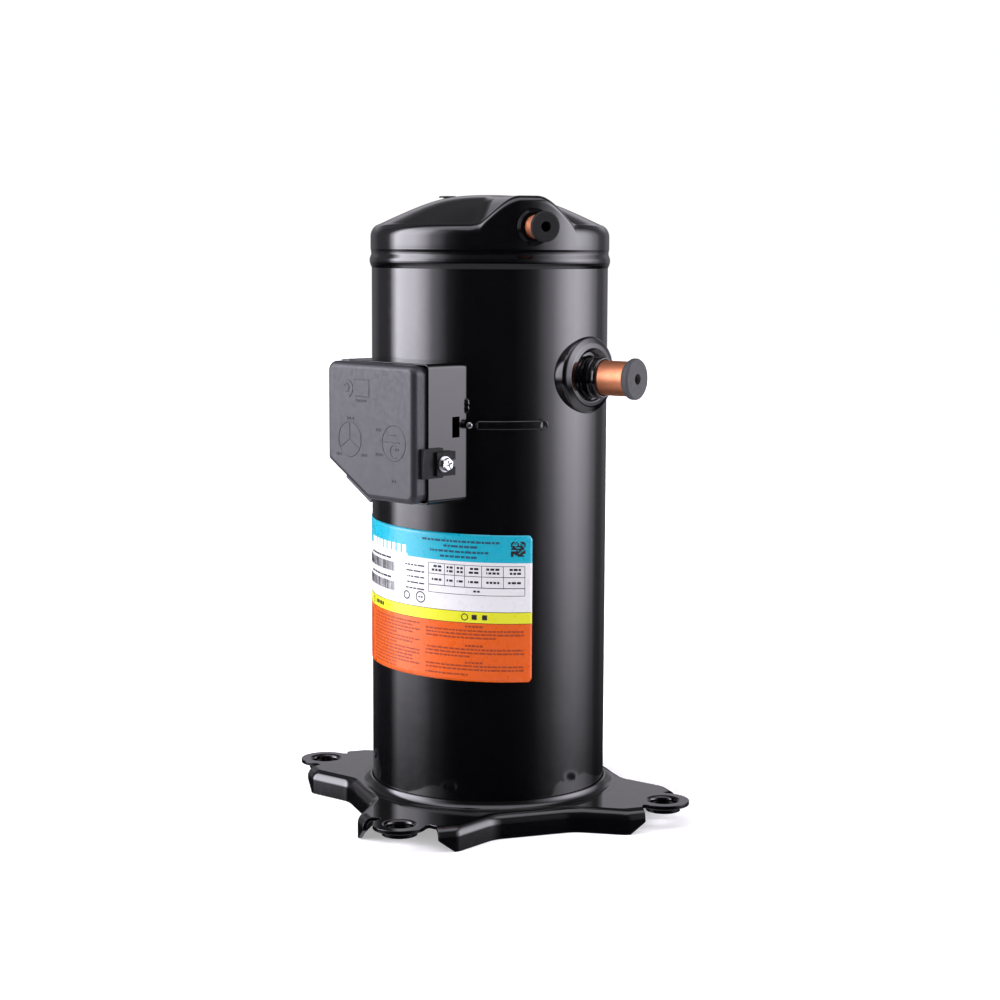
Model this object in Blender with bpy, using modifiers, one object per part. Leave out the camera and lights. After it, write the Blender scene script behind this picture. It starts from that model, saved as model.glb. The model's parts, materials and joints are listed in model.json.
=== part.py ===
"""Hermetic scroll compressor, modelled as an assembly of separate named pieces.

Frame: origin on the shell's axis at floor level, +Z up, and the base's bolt pattern square to X and Y.
The discharge stub leaves near -Y. Units are metres; MM turns drawing sizes into metres.
"""

import bmesh
import bpy
from math import cos, hypot, pi, radians, sin
from mathutils import Matrix, Vector

MM = 0.001
GAP = 0.3 * MM

# Base plate
BOLT_SPACING = 190.5 * MM
BOLT_HOLE_RADIUS = 9.5 * MM
PLATE_TOP = 17.0 * MM
PLATE_THICKNESS = 2.8 * MM
EAR_RADIUS = 18.0 * MM
FLANGE_OFFSET = 114.6 * MM
WAIST_OFFSET = 96.0 * MM
WAIST_HALF = 29.0 * MM
EAR_START = 60.0 * MM
FLANGE_END = 74.0 * MM
BEND_RADIUS = 7.0 * MM
FLANGE_CHAMFER = 11.0 * MM
COLLAR_DEPTH = 4.4 * MM

# Shell
SHELL_RADIUS = 82.5 * MM
SHELL_WALL = 3.2 * MM
SHELL_INNER = SHELL_RADIUS - SHELL_WALL
SHELL_BOTTOM = 9.0 * MM
SHELL_TOP = 385.0 * MM
RIM_RADIUS = 84.0 * MM
RIM_TOP = 392.6 * MM
CAP_RADIUS = 83.3 * MM
CAP_WALL = 3.2 * MM
SHELL_STEPS = 40
PIECE_STEPS = 24
CASTING_STEPS = 28
SMALL_STEPS = 14
PIN_STEPS = 10

# Top cap: its turned profile, in millimetres
DOME_TOP = 432.5
DOME_PROFILE = [(0, DOME_TOP), (12, 432.3), (24, 431.5), (36, 430.2), (47, 426.8), (58, 422), (66, 417.6),
                (73, 414), (77, 412.2), (80.4, 409.4), (82.6, 406), (83.3, 402)]

# Ports
SUCTION_HEIGHT = 308.9 * MM
SUCTION_ANGLE = -54.3
SUCTION_PIPE_RADIUS = 12.2 * MM
DISCHARGE_HEIGHT = 410.0 * MM
DISCHARGE_ANGLE = -89.0
DISCHARGE_PIPE_RADIUS = 8.0 * MM
PIPE_WALL = 1.2 * MM

# Terminal box: measured from a plane through the shell's axis, square to the box's facing direction
BOX_ANGLE = -156.3
BOX_LEFT = -42.1 * MM
BOX_RIGHT = 48.1 * MM
BOX_BOTTOM = 228.0 * MM
BOX_TOP = 319.6 * MM
BOX_FRONT = 112.6 * MM
BOX_SKIRT = 104.2 * MM
BOX_CHAMFER_WIDTH = 43.0 * MM
BOX_CHAMFER_HEIGHT = 24.4 * MM
BOX_CORNER = 7.0 * MM
FENCE_CORNER = 3.4 * MM
FENCE_FRONT = 100.4 * MM
FENCE_GROW = 0.7 * MM
FENCE_WALL = 1.5 * MM
TERMINAL_X = 2.0 * MM
TERMINAL_Z = 273.0 * MM
SCREW_Z = 254.5 * MM
SCREW_DEPTH = 90.0 * MM
TAB_INNER = BOX_RIGHT + 1.0 * MM
TAB_OUTER = BOX_RIGHT + 3.0 * MM
BOSS_OUTER = BOX_RIGHT + 5.2 * MM
SCREW_SEAT = BOX_RIGHT + 5.5 * MM
COVER_LIP = -1.3 * MM
COVER_POCKET = -3.2 * MM
COVER_LIP_BACK = 96.5 * MM
COVER_POCKET_FLOOR = 110.8 * MM
FORK_HALF = 2.4 * MM

# Rating label: start and sweep round the shell are in degrees, slope is rise per length
LABEL_START = -88.6
LABEL_SWEEP = -139.0
LABEL_HEIGHT = 100.4 * MM
LABEL_TOP = 204.1 * MM
LABEL_SLOPE = 0.028

# Scroll set
PITCH = 16.0 * MM
WRAP_WALL = 3.6 * MM
WRAP_GAP = 0.3 * MM
INVOLUTE_BASE = PITCH / (2.0 * pi)
ORBIT = PITCH / 2.0 - WRAP_WALL - WRAP_GAP
WRAP_START = 1.35 * pi
WRAP_END = 5.9 * pi
WRAP_STEPS_PER_TURN = 20

# Motor
SHAFT_RADIUS = 11.0 * MM
BUSH_BORE = 11.5 * MM
BUSH_RADIUS = 14.0 * MM
ROTOR_RADIUS = 37.8 * MM
STATOR_BORE = 38.6 * MM
STATOR_LOW = 112.0 * MM
STATOR_HIGH = 212.0 * MM
STATOR_SLOTS = 24


def remove_old_objects():
    """Empty the scene without closing its file."""
    for obj in list(bpy.data.objects):
        bpy.data.objects.remove(obj, do_unlink=True)


def new_collection(name):
    """Make a collection under the scene's own."""
    made = bpy.data.collections.new(name)
    bpy.context.scene.collection.children.link(made)
    return made


remove_old_objects()
PARTS = new_collection("scroll_compressor")
CUTTERS = new_collection("cutters")
MATERIALS = {}


def material(name, colour, roughness, metallic):
    """Return the Principled material of this name, made once."""
    if name not in MATERIALS:
        made = bpy.data.materials.new(name)
        made.use_nodes = True
        shader = made.node_tree.nodes["Principled BSDF"]
        shader.inputs["Base Color"].default_value = (*colour, 1.0)
        shader.inputs["Roughness"].default_value = roughness
        shader.inputs["Metallic"].default_value = metallic
        MATERIALS[name] = made
    return MATERIALS[name]


BLACK_PAINT = material("black_paint", (0.012, 0.012, 0.014), 0.18, 0.0)
COVER_PLASTIC = material("cover_plastic", (0.045, 0.045, 0.05), 0.42, 0.0)
COPPER = material("copper", (0.75, 0.36, 0.2), 0.22, 1.0)
RUBBER = material("rubber", (0.06, 0.06, 0.062), 0.6, 0.0)
ZINC = material("zinc", (0.72, 0.73, 0.75), 0.25, 1.0)
LABEL_FILM = material("label_film", (0.85, 0.85, 0.84), 0.35, 0.0)
CAST_IRON = material("cast_iron", (0.22, 0.22, 0.23), 0.5, 0.8)
STEEL = material("steel", (0.6, 0.6, 0.62), 0.28, 1.0)
ELECTRICAL_STEEL = material("electrical_steel", (0.35, 0.36, 0.4), 0.4, 0.9)
WINDING = material("winding", (0.5, 0.2, 0.08), 0.35, 0.6)
ALUMINIUM = material("aluminium", (0.78, 0.79, 0.8), 0.35, 1.0)
BRONZE = material("bronze", (0.62, 0.42, 0.2), 0.35, 0.9)
INSULATION = material("insulation", (0.75, 0.72, 0.62), 0.55, 0.0)
GLASS = material("terminal_glass", (0.12, 0.16, 0.14), 0.15, 0.0)


def smooth(mesh, angle=35.0):
    """Shade round faces smooth and keep real corners sharp."""
    mesh.shade_smooth()
    mesh.set_sharp_from_angle(angle=radians(angle))


def add_object(name, mesh, finish, matrix=None, cutter=False):
    """Put a mesh in the scene as a piece, or as a hidden cutter."""
    obj = bpy.data.objects.new(name, mesh)
    if cutter:
        obj.hide_render = True
        obj.display_type = "WIRE"
        CUTTERS.objects.link(obj)
    else:
        mesh.materials.append(finish)
        PARTS.objects.link(obj)
    if matrix is not None:
        obj.matrix_world = matrix
    return obj


def mm(points):
    """Scale drawing coordinates from millimetres to metres."""
    return [tuple(value * MM for value in point) for point in points]


def modifier_name(obj, kind):
    """A name for the next modifier on an object."""
    return f"{kind.lower()}_{len(obj.modifiers) + 1}"


def combine(obj, other, operation):
    """Add a Boolean with the exact solver, which is the default."""
    boolean = obj.modifiers.new(modifier_name(obj, operation), "BOOLEAN")
    boolean.operation = operation
    boolean.object = other
    return obj


def turned(name, profile, finish, matrix=None, steps=PIECE_STEPS, closed=False, cutter=False):
    """Turn a profile of (radius, height) about Z. It runs down its outer side, from the top."""
    mesh = bpy.data.meshes.new(name)
    vertices = [(radius, 0.0, height) for radius, height in profile]
    edges = [(i, i + 1) for i in range(len(profile) - 1)]
    if closed:
        edges.append((len(profile) - 1, 0))
    mesh.from_pydata(vertices, edges, [])
    obj = add_object(name, mesh, finish, matrix, cutter)
    screw = obj.modifiers.new("turn", "SCREW")
    screw.axis = "Z"
    screw.steps = steps
    screw.render_steps = steps
    screw.use_merge_vertices = True
    screw.merge_threshold = 0.00001
    screw.use_smooth_shade = True
    return obj


def ring(name, inner, outer, low, high, finish, matrix=None, steps=PIECE_STEPS, cutter=False):
    """A plain ring of rectangular section."""
    profile = [(inner, high), (outer, high), (outer, low), (inner, low)]
    return turned(name, profile, finish, matrix, steps, True, cutter)


def rod(name, radius, low, high, finish, matrix=None, steps=PIECE_STEPS, cutter=False):
    """A solid cylinder along Z."""
    mesh = bpy.data.meshes.new(name)
    form = bmesh.new()
    place = Matrix.Translation((0.0, 0.0, (low + high) / 2.0))
    bmesh.ops.create_cone(form, cap_ends=True, segments=steps, radius1=radius, radius2=radius,
                          depth=high - low, matrix=place)
    form.to_mesh(mesh)
    form.free()
    smooth(mesh)
    return add_object(name, mesh, finish, matrix, cutter)


def block(name, low, high, finish, matrix=None, cutter=False):
    """A box between two corners."""
    mesh = bpy.data.meshes.new(name)
    form = bmesh.new()
    bmesh.ops.create_cube(form, size=1.0)
    low, high = Vector(low), Vector(high)
    bmesh.ops.scale(form, vec=high - low, verts=form.verts)
    bmesh.ops.translate(form, vec=(low + high) / 2.0, verts=form.verts)
    form.to_mesh(mesh)
    form.free()
    return add_object(name, mesh, finish, matrix, cutter)


def mesh_from_curve(curve, name):
    """Turn a filled curve into a closed mesh with its caps welded."""
    guide = bpy.data.objects.new(name, curve)
    CUTTERS.objects.link(guide)
    bpy.context.view_layer.update()
    evaluated = guide.evaluated_get(bpy.context.evaluated_depsgraph_get())
    mesh = bpy.data.meshes.new_from_object(evaluated)
    bpy.data.objects.remove(guide, do_unlink=True)
    bpy.data.curves.remove(curve)
    form = bmesh.new()
    form.from_mesh(mesh)
    bmesh.ops.remove_doubles(form, verts=form.verts, dist=0.000005)
    bmesh.ops.recalc_face_normals(form, faces=form.faces)
    form.to_mesh(mesh)
    form.free()
    mesh.name = name
    return mesh


def flat(name, outlines, low, high, finish, matrix=None, cutter=False):
    """Cut a flat piece from outlines in XY; the first is the outside, the others are holes."""
    curve = bpy.data.curves.new(name, "CURVE")
    curve.dimensions = "2D"
    curve.fill_mode = "BOTH"
    curve.extrude = (high - low) / 2.0
    for outline in outlines:
        spline = curve.splines.new("POLY")
        spline.points.add(len(outline) - 1)
        for point, (x, y) in zip(spline.points, outline):
            point.co = (x, y, 0.0, 1.0)
        spline.use_cyclic_u = True
    mesh = mesh_from_curve(curve, name)
    mesh.transform(Matrix.Translation((0.0, 0.0, (low + high) / 2.0)))
    smooth(mesh)
    return add_object(name, mesh, finish, matrix, cutter)


def wire(name, points, radius, finish, resolution=1):
    """A round wire along a route of points."""
    curve = bpy.data.curves.new(name, "CURVE")
    curve.dimensions = "3D"
    curve.bevel_depth = radius
    curve.bevel_resolution = resolution
    curve.use_fill_caps = True
    spline = curve.splines.new("POLY")
    spline.points.add(len(points) - 1)
    for point, place in zip(spline.points, points):
        point.co = (*place, 1.0)
    mesh = mesh_from_curve(curve, name)
    smooth(mesh, 60.0)
    return add_object(name, mesh, finish)


def soften(obj, width, segments=2, angle=40.0):
    """Round the edges sharper than an angle."""
    bevel = obj.modifiers.new(modifier_name(obj, "BEVEL"), "BEVEL")
    bevel.width = width
    bevel.segments = segments
    bevel.limit_method = "ANGLE"
    bevel.angle_limit = radians(angle)
    return obj


def arc(centre, radius, start, end, count):
    """Points on an arc, with its angles in degrees."""
    steps = [radians(start + (end - start) * i / count) for i in range(count + 1)]
    return [(centre[0] + radius * cos(a), centre[1] + radius * sin(a)) for a in steps]


def circle(centre, radius, count):
    """Points round a whole circle."""
    return arc(centre, radius, 0.0, 360.0 * (count - 1) / count, count - 1)


def radial_frame(angle, height):
    """A frame whose +Z leaves the shell's axis at an angle and whose +Y points up."""
    outward = Vector((cos(radians(angle)), sin(radians(angle)), 0.0))
    up = Vector((0.0, 0.0, 1.0))
    side = up.cross(outward)
    rotation = Matrix((side, up, outward)).transposed().to_4x4()
    return Matrix.Translation((0.0, 0.0, height)) @ rotation


BOX_FRAME = radial_frame(BOX_ANGLE, 0.0)
SUCTION_FRAME = radial_frame(SUCTION_ANGLE, SUCTION_HEIGHT)
DISCHARGE_FRAME = radial_frame(DISCHARGE_ANGLE, DISCHARGE_HEIGHT)


# ---------------------------------------------------------------- base plate

def side_offset(along):
    """Distance of a side's flange from the centre, at a place along that side."""
    reach = min(max((abs(along) - WAIST_HALF) / (EAR_START - WAIST_HALF), 0.0), 1.0)
    return WAIST_OFFSET + (FLANGE_OFFSET - WAIST_OFFSET) * reach


def side_stations():
    """Places along a side where its flange changes direction."""
    half = [0.0, WAIST_HALF, EAR_START, FLANGE_END]
    return [-value for value in reversed(half[1:])] + half


def flange_column(along, end_chamfer):
    """Points of one flange section, from the bend's start down to the floor: (along, offset, height)."""
    offset = side_offset(along)
    inset = offset - BEND_RADIUS
    column = []
    for step in range(5):
        turn = radians(90.0 * step / 4)
        column.append((along, inset + BEND_RADIUS * sin(turn), PLATE_TOP - BEND_RADIUS * (1.0 - cos(turn))))
    column.append((along, offset, 8.0 * MM))
    column.append((along - end_chamfer, offset, 0.0))
    return column


def ear_outline():
    """The plate's edge round one ear, at the corner towards +X and +Y."""
    hole = BOLT_SPACING / 2.0
    notch = 77.0 * MM
    depth = 103.0 * MM
    tip = arc((hole, hole), EAR_RADIUS, -60.0, 150.0, 9)
    return [(depth, notch)] + tip + [(notch, depth)]


def base_plate():
    """Stamped plate with four ears, a flange turned down along each side and a collar round each hole."""
    mesh = bpy.data.meshes.new("base_plate")
    form = bmesh.new()
    outline = []
    for quarter in range(4):
        spin = Matrix.Rotation(radians(90.0 * quarter), 4, "Z")
        ear = [form.verts.new(spin @ Vector((x, y, PLATE_TOP))) for x, y in ear_outline()]
        columns = []
        stations = side_stations()
        for along in stations:
            chamfer = 0.0
            if along in (stations[0], stations[-1]):
                chamfer = FLANGE_CHAMFER if along > 0.0 else -FLANGE_CHAMFER
            section = flange_column(along, chamfer)
            columns.append([form.verts.new(spin @ Vector((-s, o, z))) for s, o, z in section])
        for left, right in zip(columns, columns[1:]):
            for row in range(len(left) - 1):
                form.faces.new((left[row], left[row + 1], right[row + 1], right[row]))
        outline += ear + [column[0] for column in columns]
    form.faces.new(outline)
    bmesh.ops.recalc_face_normals(form, faces=form.faces)
    form.to_mesh(mesh)
    form.free()
    plate = add_object("base_plate", mesh, BLACK_PAINT)
    solid = plate.modifiers.new("sheet", "SOLIDIFY")
    solid.thickness = PLATE_THICKNESS
    solid.offset = -1.0
    solid.use_even_offset = True
    foot = SHELL_RADIUS + 0.5 * MM
    rise = 5.0 * MM
    spread = 8.0 * MM
    fillet = [(foot - 2.0 * MM, PLATE_TOP + rise), (foot + 1.5 * MM, PLATE_TOP + rise)]
    fillet += [(foot + 3.2 * MM, PLATE_TOP + 2.4 * MM), (foot + spread, PLATE_TOP - 0.5 * MM)]
    fillet += [(foot + spread, PLATE_TOP - 2.0 * MM), (foot - 2.0 * MM, PLATE_TOP - 2.0 * MM)]
    combine(plate, turned("foot_fillet", fillet, None, None, SHELL_STEPS, True, True), "UNION")
    holes = []
    for x_side in (-1, 1):
        for y_side in (-1, 1):
            place = Matrix.Translation((x_side * BOLT_SPACING / 2.0, y_side * BOLT_SPACING / 2.0, 0.0))
            outer = BOLT_HOLE_RADIUS + PLATE_THICKNESS - 0.4 * MM
            bottom = PLATE_TOP - PLATE_THICKNESS - COLLAR_DEPTH
            collar = rod("hole_collar", outer, bottom, PLATE_TOP - 1.0 * MM, None, place, SMALL_STEPS, True)
            combine(plate, collar, "UNION")
            hole = rod("bolt_hole", BOLT_HOLE_RADIUS, -5.0 * MM, 30.0 * MM, None, place, SMALL_STEPS, True)
            holes.append(hole)
    for hole in holes:
        combine(plate, hole, "DIFFERENCE")
    centre_hole = rod("shell_hole", foot, -5.0 * MM, 40.0 * MM, None, None, SHELL_STEPS, True)
    combine(plate, centre_hole, "DIFFERENCE")


# --------------------------------------------------------------------- shell

def shell_tube():
    """Rolled tube with holes for the suction fitting and the terminal header."""
    tube = ring("shell_tube", SHELL_INNER, SHELL_RADIUS, SHELL_BOTTOM, SHELL_TOP, BLACK_PAINT, None,
                SHELL_STEPS)
    suction_hole = 13.8 * MM
    header_hole = 17.2 * MM
    combine(tube, rod("suction_hole", suction_hole, 60.0 * MM, 100.0 * MM, None, SUCTION_FRAME,
                      SMALL_STEPS, True), "DIFFERENCE")
    place = BOX_FRAME @ Matrix.Translation((TERMINAL_X, TERMINAL_Z, 0.0))
    combine(tube, rod("header_hole", header_hole, 60.0 * MM, 100.0 * MM, None, place, SMALL_STEPS, True),
            "DIFFERENCE")


def lower_shell_cap():
    """Dished bottom, pressed into the tube's lower end."""
    outer = mm([(0, 4), (40, 4), (62, 5), (72, 8), (77, 13), (79, 20), (79, 32)])
    inner = mm([(75.8, 32), (75.8, 21), (74, 15), (70, 11.5), (61, 8.2), (40, 7.2), (0, 7.2)])
    profile = list(reversed(inner)) + list(reversed(outer))
    turned("lower_shell_cap", profile, BLACK_PAINT, None, PIECE_STEPS)


def dome(name, drop, shrink, low, finish, cutter):
    """The cap's turned form, or a simpler form moved down and in for its inside."""
    outline = DOME_PROFILE[::3] + DOME_PROFILE[-1:] if cutter else DOME_PROFILE
    profile = [(r * (1.0 - shrink / 83.3), z - drop) for r, z in outline]
    profile += [(profile[-1][0], low), (0.0, low)]
    return turned(name, mm(profile), finish, None, SHELL_STEPS, False, cutter)


def ridge(name, drop, shrink, reach):
    """The pressed ridge over the discharge stub: a bell-shaped section run out towards -Y."""
    half = [(37.5, 402), (36, 406.5), (31, 409.5), (26, 413.5), (21, 419), (16.5, 425), (12.5, 428.9),
            (8, 430)]
    section = [(x - shrink if x > shrink else 0.0, z - drop) for x, z in half]
    outline = mm(section + [(-x, z) for x, z in reversed(section)])
    turn = Matrix.Rotation(radians(90.0), 4, "X")
    return flat(name, [outline], 25.0 * MM, reach, None, turn, True)


def top_cap():
    """Drawn end cap with a dome and a ridge whose upright face carries the discharge fitting."""
    cap = dome("top_cap", 0.0, 0.0, RIM_TOP / MM + 0.3, BLACK_PAINT, False)
    wall = CAP_WALL / MM
    outer_ridge = ridge("ridge_outside", 0.0, 0.0, 120.0 * MM)
    reach = CAP_RADIUS - 0.15 * MM
    trim = rod("cap_envelope", reach, 395.0 * MM, 440.0 * MM, None, None, SHELL_STEPS + 4, True)
    combine(outer_ridge, trim, "INTERSECT")
    inner_ridge = ridge("ridge_inside", wall, wall, 120.0 * MM)
    bore_radius = CAP_RADIUS - CAP_WALL - 0.15 * MM
    trim_inside = rod("cap_bore", bore_radius, 380.0 * MM, 440.0 * MM, None, None, SHELL_STEPS + 4, True)
    combine(inner_ridge, trim_inside, "INTERSECT")
    combine(cap, outer_ridge, "UNION")
    inside = dome("dome_inside", wall, wall, 380.0, None, True)
    combine(inside, inner_ridge, "UNION")
    combine(cap, inside, "DIFFERENCE")
    stub_hole = rod("discharge_hole", DISCHARGE_PIPE_RADIUS + 0.4 * MM, 60.0 * MM, 100.0 * MM, None,
                    DISCHARGE_FRAME, SMALL_STEPS, True)
    combine(cap, stub_hole, "DIFFERENCE")
    pocket_hole = rod("pocket_hole", 3.4 * MM, 400.0 * MM, 440.0 * MM, None, POCKET_FRAME, PIN_STEPS, True)
    combine(cap, pocket_hole, "DIFFERENCE")


POCKET_FRAME = Matrix.Translation((-21.0 * MM, 30.7 * MM, 0.0))


def sensor_pocket():
    """Small closed pocket in the dome for a temperature sensor, with a thin round head."""
    profile = mm([(0, 432.1), (5.4, 432.1), (6.2, 431.5), (6.2, 430.9), (3.0, 430.9), (3.0, 409), (0, 409)])
    turned("sensor_pocket", profile, RUBBER, POCKET_FRAME, SMALL_STEPS)


def separator_plate():
    """Dished plate that parts the high side from the low side; its rim shows as a bead under the cap."""
    rim = mm([(80, 392.4), (82.9, 392.4), (84, 390.9), (84, 387.2), (82.9, 385.3)])
    under = mm([(79.0, 385.3), (78.8, 388.8), (74, 391.6), (58, 395.4), (12, 395.4)])
    over = mm([(12, 398.4), (58.6, 398.4), (75, 394.9)])
    turned("separator_plate", rim + under + over, STEEL, None, CASTING_STEPS, True)


# --------------------------------------------------------------------- ports

def suction_port():
    """Pad, fitting, copper stub and rubber plug of the suction side."""
    widen = 1.2
    place = SUCTION_FRAME @ Matrix.Translation((0.0, 1.5 * MM, 0.0)) @ Matrix.Diagonal((widen, 1.0, 1.0, 1.0))
    profile = mm([(0, 84.6), (17.2, 84.6), (18.6, 85.8), (21.5, 85.4), (25.0, 83.9), (26.4, 82.0), (26.7, 70),
                  (0, 70)])
    pad = turned("suction_pad", profile, BLACK_PAINT, place, PIECE_STEPS)
    back = rod("pad_back", SHELL_RADIUS + GAP, 250.0 * MM, 360.0 * MM, None, None, 2 * SHELL_STEPS, True)
    combine(pad, back, "DIFFERENCE")
    hole = rod("pad_hole", 15.6 * MM, 60.0 * MM, 100.0 * MM, None, place, SMALL_STEPS, True)
    combine(pad, hole, "DIFFERENCE")
    fitting = mm([(12.5, 95.5), (13.6, 95.5), (14.2, 94.6), (14.2, 85.4), (13.4, 84.6), (13.4, 74),
                  (12.5, 74)])
    turned("suction_fitting", fitting, BLACK_PAINT, SUCTION_FRAME, SMALL_STEPS, True)
    outer = SUCTION_PIPE_RADIUS
    bore = outer - PIPE_WALL
    ring("suction_stub", bore, outer, 75.0 * MM, 115.4 * MM, COPPER, SUCTION_FRAME, SMALL_STEPS)
    plug = mm([(3.6, 121.5), (13.0, 121.5), (14.0, 120.5), (14.0, 118.2), (12.9, 115.9), (10.7, 115.9),
               (10.3, 101.9), (3.6, 101.9)])
    turned("suction_plug", plug, RUBBER, SUCTION_FRAME, SMALL_STEPS, True)


def discharge_port():
    """Collar, copper stub and rubber plug of the discharge side."""
    collar = mm([(8.3, 87.6), (11.2, 87.6), (12.4, 85.2), (12.6, 83.6), (8.3, 83.6)])
    turned("discharge_collar", collar, BLACK_PAINT, DISCHARGE_FRAME, SMALL_STEPS, True)
    outer = DISCHARGE_PIPE_RADIUS
    bore = outer - PIPE_WALL
    ring("discharge_stub", bore, outer, 76.0 * MM, 100.6 * MM, COPPER, DISCHARGE_FRAME, SMALL_STEPS)
    plug = mm([(3.4, 105.2), (9.2, 105.2), (10.1, 104.3), (10.1, 102.9), (8.9, 101.1), (6.5, 101.1),
               (6.2, 89.0), (3.4, 89.0)])
    turned("discharge_plug", plug, RUBBER, DISCHARGE_FRAME, SMALL_STEPS, True)


# -------------------------------------------------------------- terminal box

def box_outline(grow, corner):
    """The box's outline, grown or shrunk evenly: three round corners and one long chamfer."""
    left, right = BOX_LEFT - grow, BOX_RIGHT + grow
    low, high = BOX_BOTTOM - grow, BOX_TOP + grow
    slope = hypot(BOX_CHAMFER_WIDTH, BOX_CHAMFER_HEIGHT)
    shift_x = grow * (BOX_CHAMFER_WIDTH + BOX_CHAMFER_HEIGHT - slope) / BOX_CHAMFER_HEIGHT
    shift_y = grow * (BOX_CHAMFER_WIDTH + BOX_CHAMFER_HEIGHT - slope) / BOX_CHAMFER_WIDTH
    points = arc((right - corner, high - corner), corner, 0.0, 90.0, 3)
    points += arc((left + corner, high - corner), corner, 90.0, 180.0, 3)
    points.append((left, BOX_BOTTOM - grow + BOX_CHAMFER_HEIGHT + shift_y))
    points.append((left + BOX_CHAMFER_WIDTH + shift_x, low))
    points += arc((right - corner, low + corner), corner, 270.0, 360.0, 3)
    return points


SCREW_PLACE = Matrix.Translation((0.0, SCREW_Z, SCREW_DEPTH))
ACROSS_SCREW = BOX_FRAME @ SCREW_PLACE @ Matrix.Rotation(radians(90.0), 4, "Y")


def terminal_fence():
    """Steel wall round the terminal header, with a lip along its chamfer, a slot and a screw hole."""
    outer = box_outline(FENCE_GROW, FENCE_CORNER)
    inner = box_outline(FENCE_GROW - FENCE_WALL, FENCE_CORNER - FENCE_WALL)
    fence = flat("terminal_fence", [outer, inner], 60.0 * MM, FENCE_FRONT, BLACK_PAINT, BOX_FRAME)
    lip_corners = mm([(-37.1, 238.8), (-10.0, 223.3), (-5.3, 231.5), (-32.3, 247.2)])
    lip = flat("fence_lip", [lip_corners], FENCE_FRONT - FENCE_WALL, FENCE_FRONT, None, BOX_FRAME, True)
    combine(fence, lip, "UNION")
    back = rod("fence_back", SHELL_RADIUS + GAP, 200.0 * MM, 350.0 * MM, None, None, 2 * SHELL_STEPS, True)
    combine(fence, back, "DIFFERENCE")
    slot_low = (40.0 * MM, 271.0 * MM, 72.6 * MM)
    slot_high = (60.0 * MM, 284.6 * MM, 79.0 * MM)
    combine(fence, block("fence_slot", slot_low, slot_high, None, BOX_FRAME, True), "DIFFERENCE")
    hole = rod("screw_hole", 2.3 * MM, 30.0 * MM, 70.0 * MM, None, ACROSS_SCREW, PIN_STEPS, True)
    combine(fence, hole, "DIFFERENCE")


def terminal_cover():
    """Moulded cover: a shallow tray with an inner lip and a forked tab that the screw holds."""
    outer = box_outline(0.0, BOX_CORNER)
    cover = flat("terminal_cover", [outer], BOX_SKIRT, BOX_FRONT, COVER_PLASTIC, BOX_FRAME)
    soften(cover, 3.0 * MM, 3, 60.0)
    lip_outer = box_outline(COVER_LIP, BOX_CORNER + COVER_LIP)
    combine(cover, flat("cover_lip", [lip_outer], COVER_LIP_BACK, 106.0 * MM, None, BOX_FRAME, True), "UNION")
    arm_low = (BOX_RIGHT - 0.9 * MM, 245.2 * MM, BOX_SKIRT)
    arm_high = (TAB_OUTER, 265.0 * MM, 107.0 * MM)
    combine(cover, block("cover_arm", arm_low, arm_high, None, BOX_FRAME, True), "UNION")
    tab_low = (TAB_INNER, 245.2 * MM, 89.0 * MM)
    combine(cover, block("cover_tab", tab_low, arm_high, None, BOX_FRAME, True), "UNION")
    boss_low = (TAB_INNER, 246.6 * MM, 80.0 * MM)
    boss_high = (BOSS_OUTER, 262.6 * MM, 96.4 * MM)
    combine(cover, block("tab_boss", boss_low, boss_high, None, BOX_FRAME, True), "UNION")
    pocket = box_outline(COVER_POCKET, 3.0 * MM)
    pocket_cut = flat("cover_pocket", [pocket], 90.0 * MM, COVER_POCKET_FLOOR, None, BOX_FRAME, True)
    combine(cover, pocket_cut, "DIFFERENCE")
    fork_low = (TAB_INNER - 5.0 * MM, SCREW_Z - FORK_HALF, 75.0 * MM)
    fork_high = (TAB_INNER + 10.0 * MM, SCREW_Z + FORK_HALF, SCREW_DEPTH)
    combine(cover, block("tab_fork", fork_low, fork_high, None, BOX_FRAME, True), "DIFFERENCE")
    fork_end = rod("fork_end", FORK_HALF, TAB_INNER - 5.0 * MM, TAB_INNER + 10.0 * MM, None, ACROSS_SCREW,
                   PIN_STEPS, True)
    combine(cover, fork_end, "DIFFERENCE")


def cover_screw():
    """Washer-head screw with a cross recess."""
    seat = SCREW_SEAT / MM
    profile = mm([(0, seat + 4.4), (3.9, seat + 4.4), (4.7, seat + 3.6), (4.7, seat + 1.2), (5.6, seat + 0.9),
                  (5.6, seat), (1.9, seat), (1.9, seat - 17), (0, seat - 18.5)])
    screw = turned("cover_screw", profile, ZINC, ACROSS_SCREW, SMALL_STEPS)
    for name, wide, tall in (("recess_a", 3.0, 0.5), ("recess_b", 0.5, 3.0)):
        low = (-wide * MM, -tall * MM, (seat + 2.6) * MM)
        high = (wide * MM, tall * MM, (seat + 8.0) * MM)
        combine(screw, block(name, low, high, None, ACROSS_SCREW, True), "DIFFERENCE")


PIN_PLACES = [(TERMINAL_X + 9.0 * MM * cos(radians(a)), TERMINAL_Z + 9.0 * MM * sin(radians(a)))
              for a in (90.0, 210.0, 330.0)]


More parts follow.
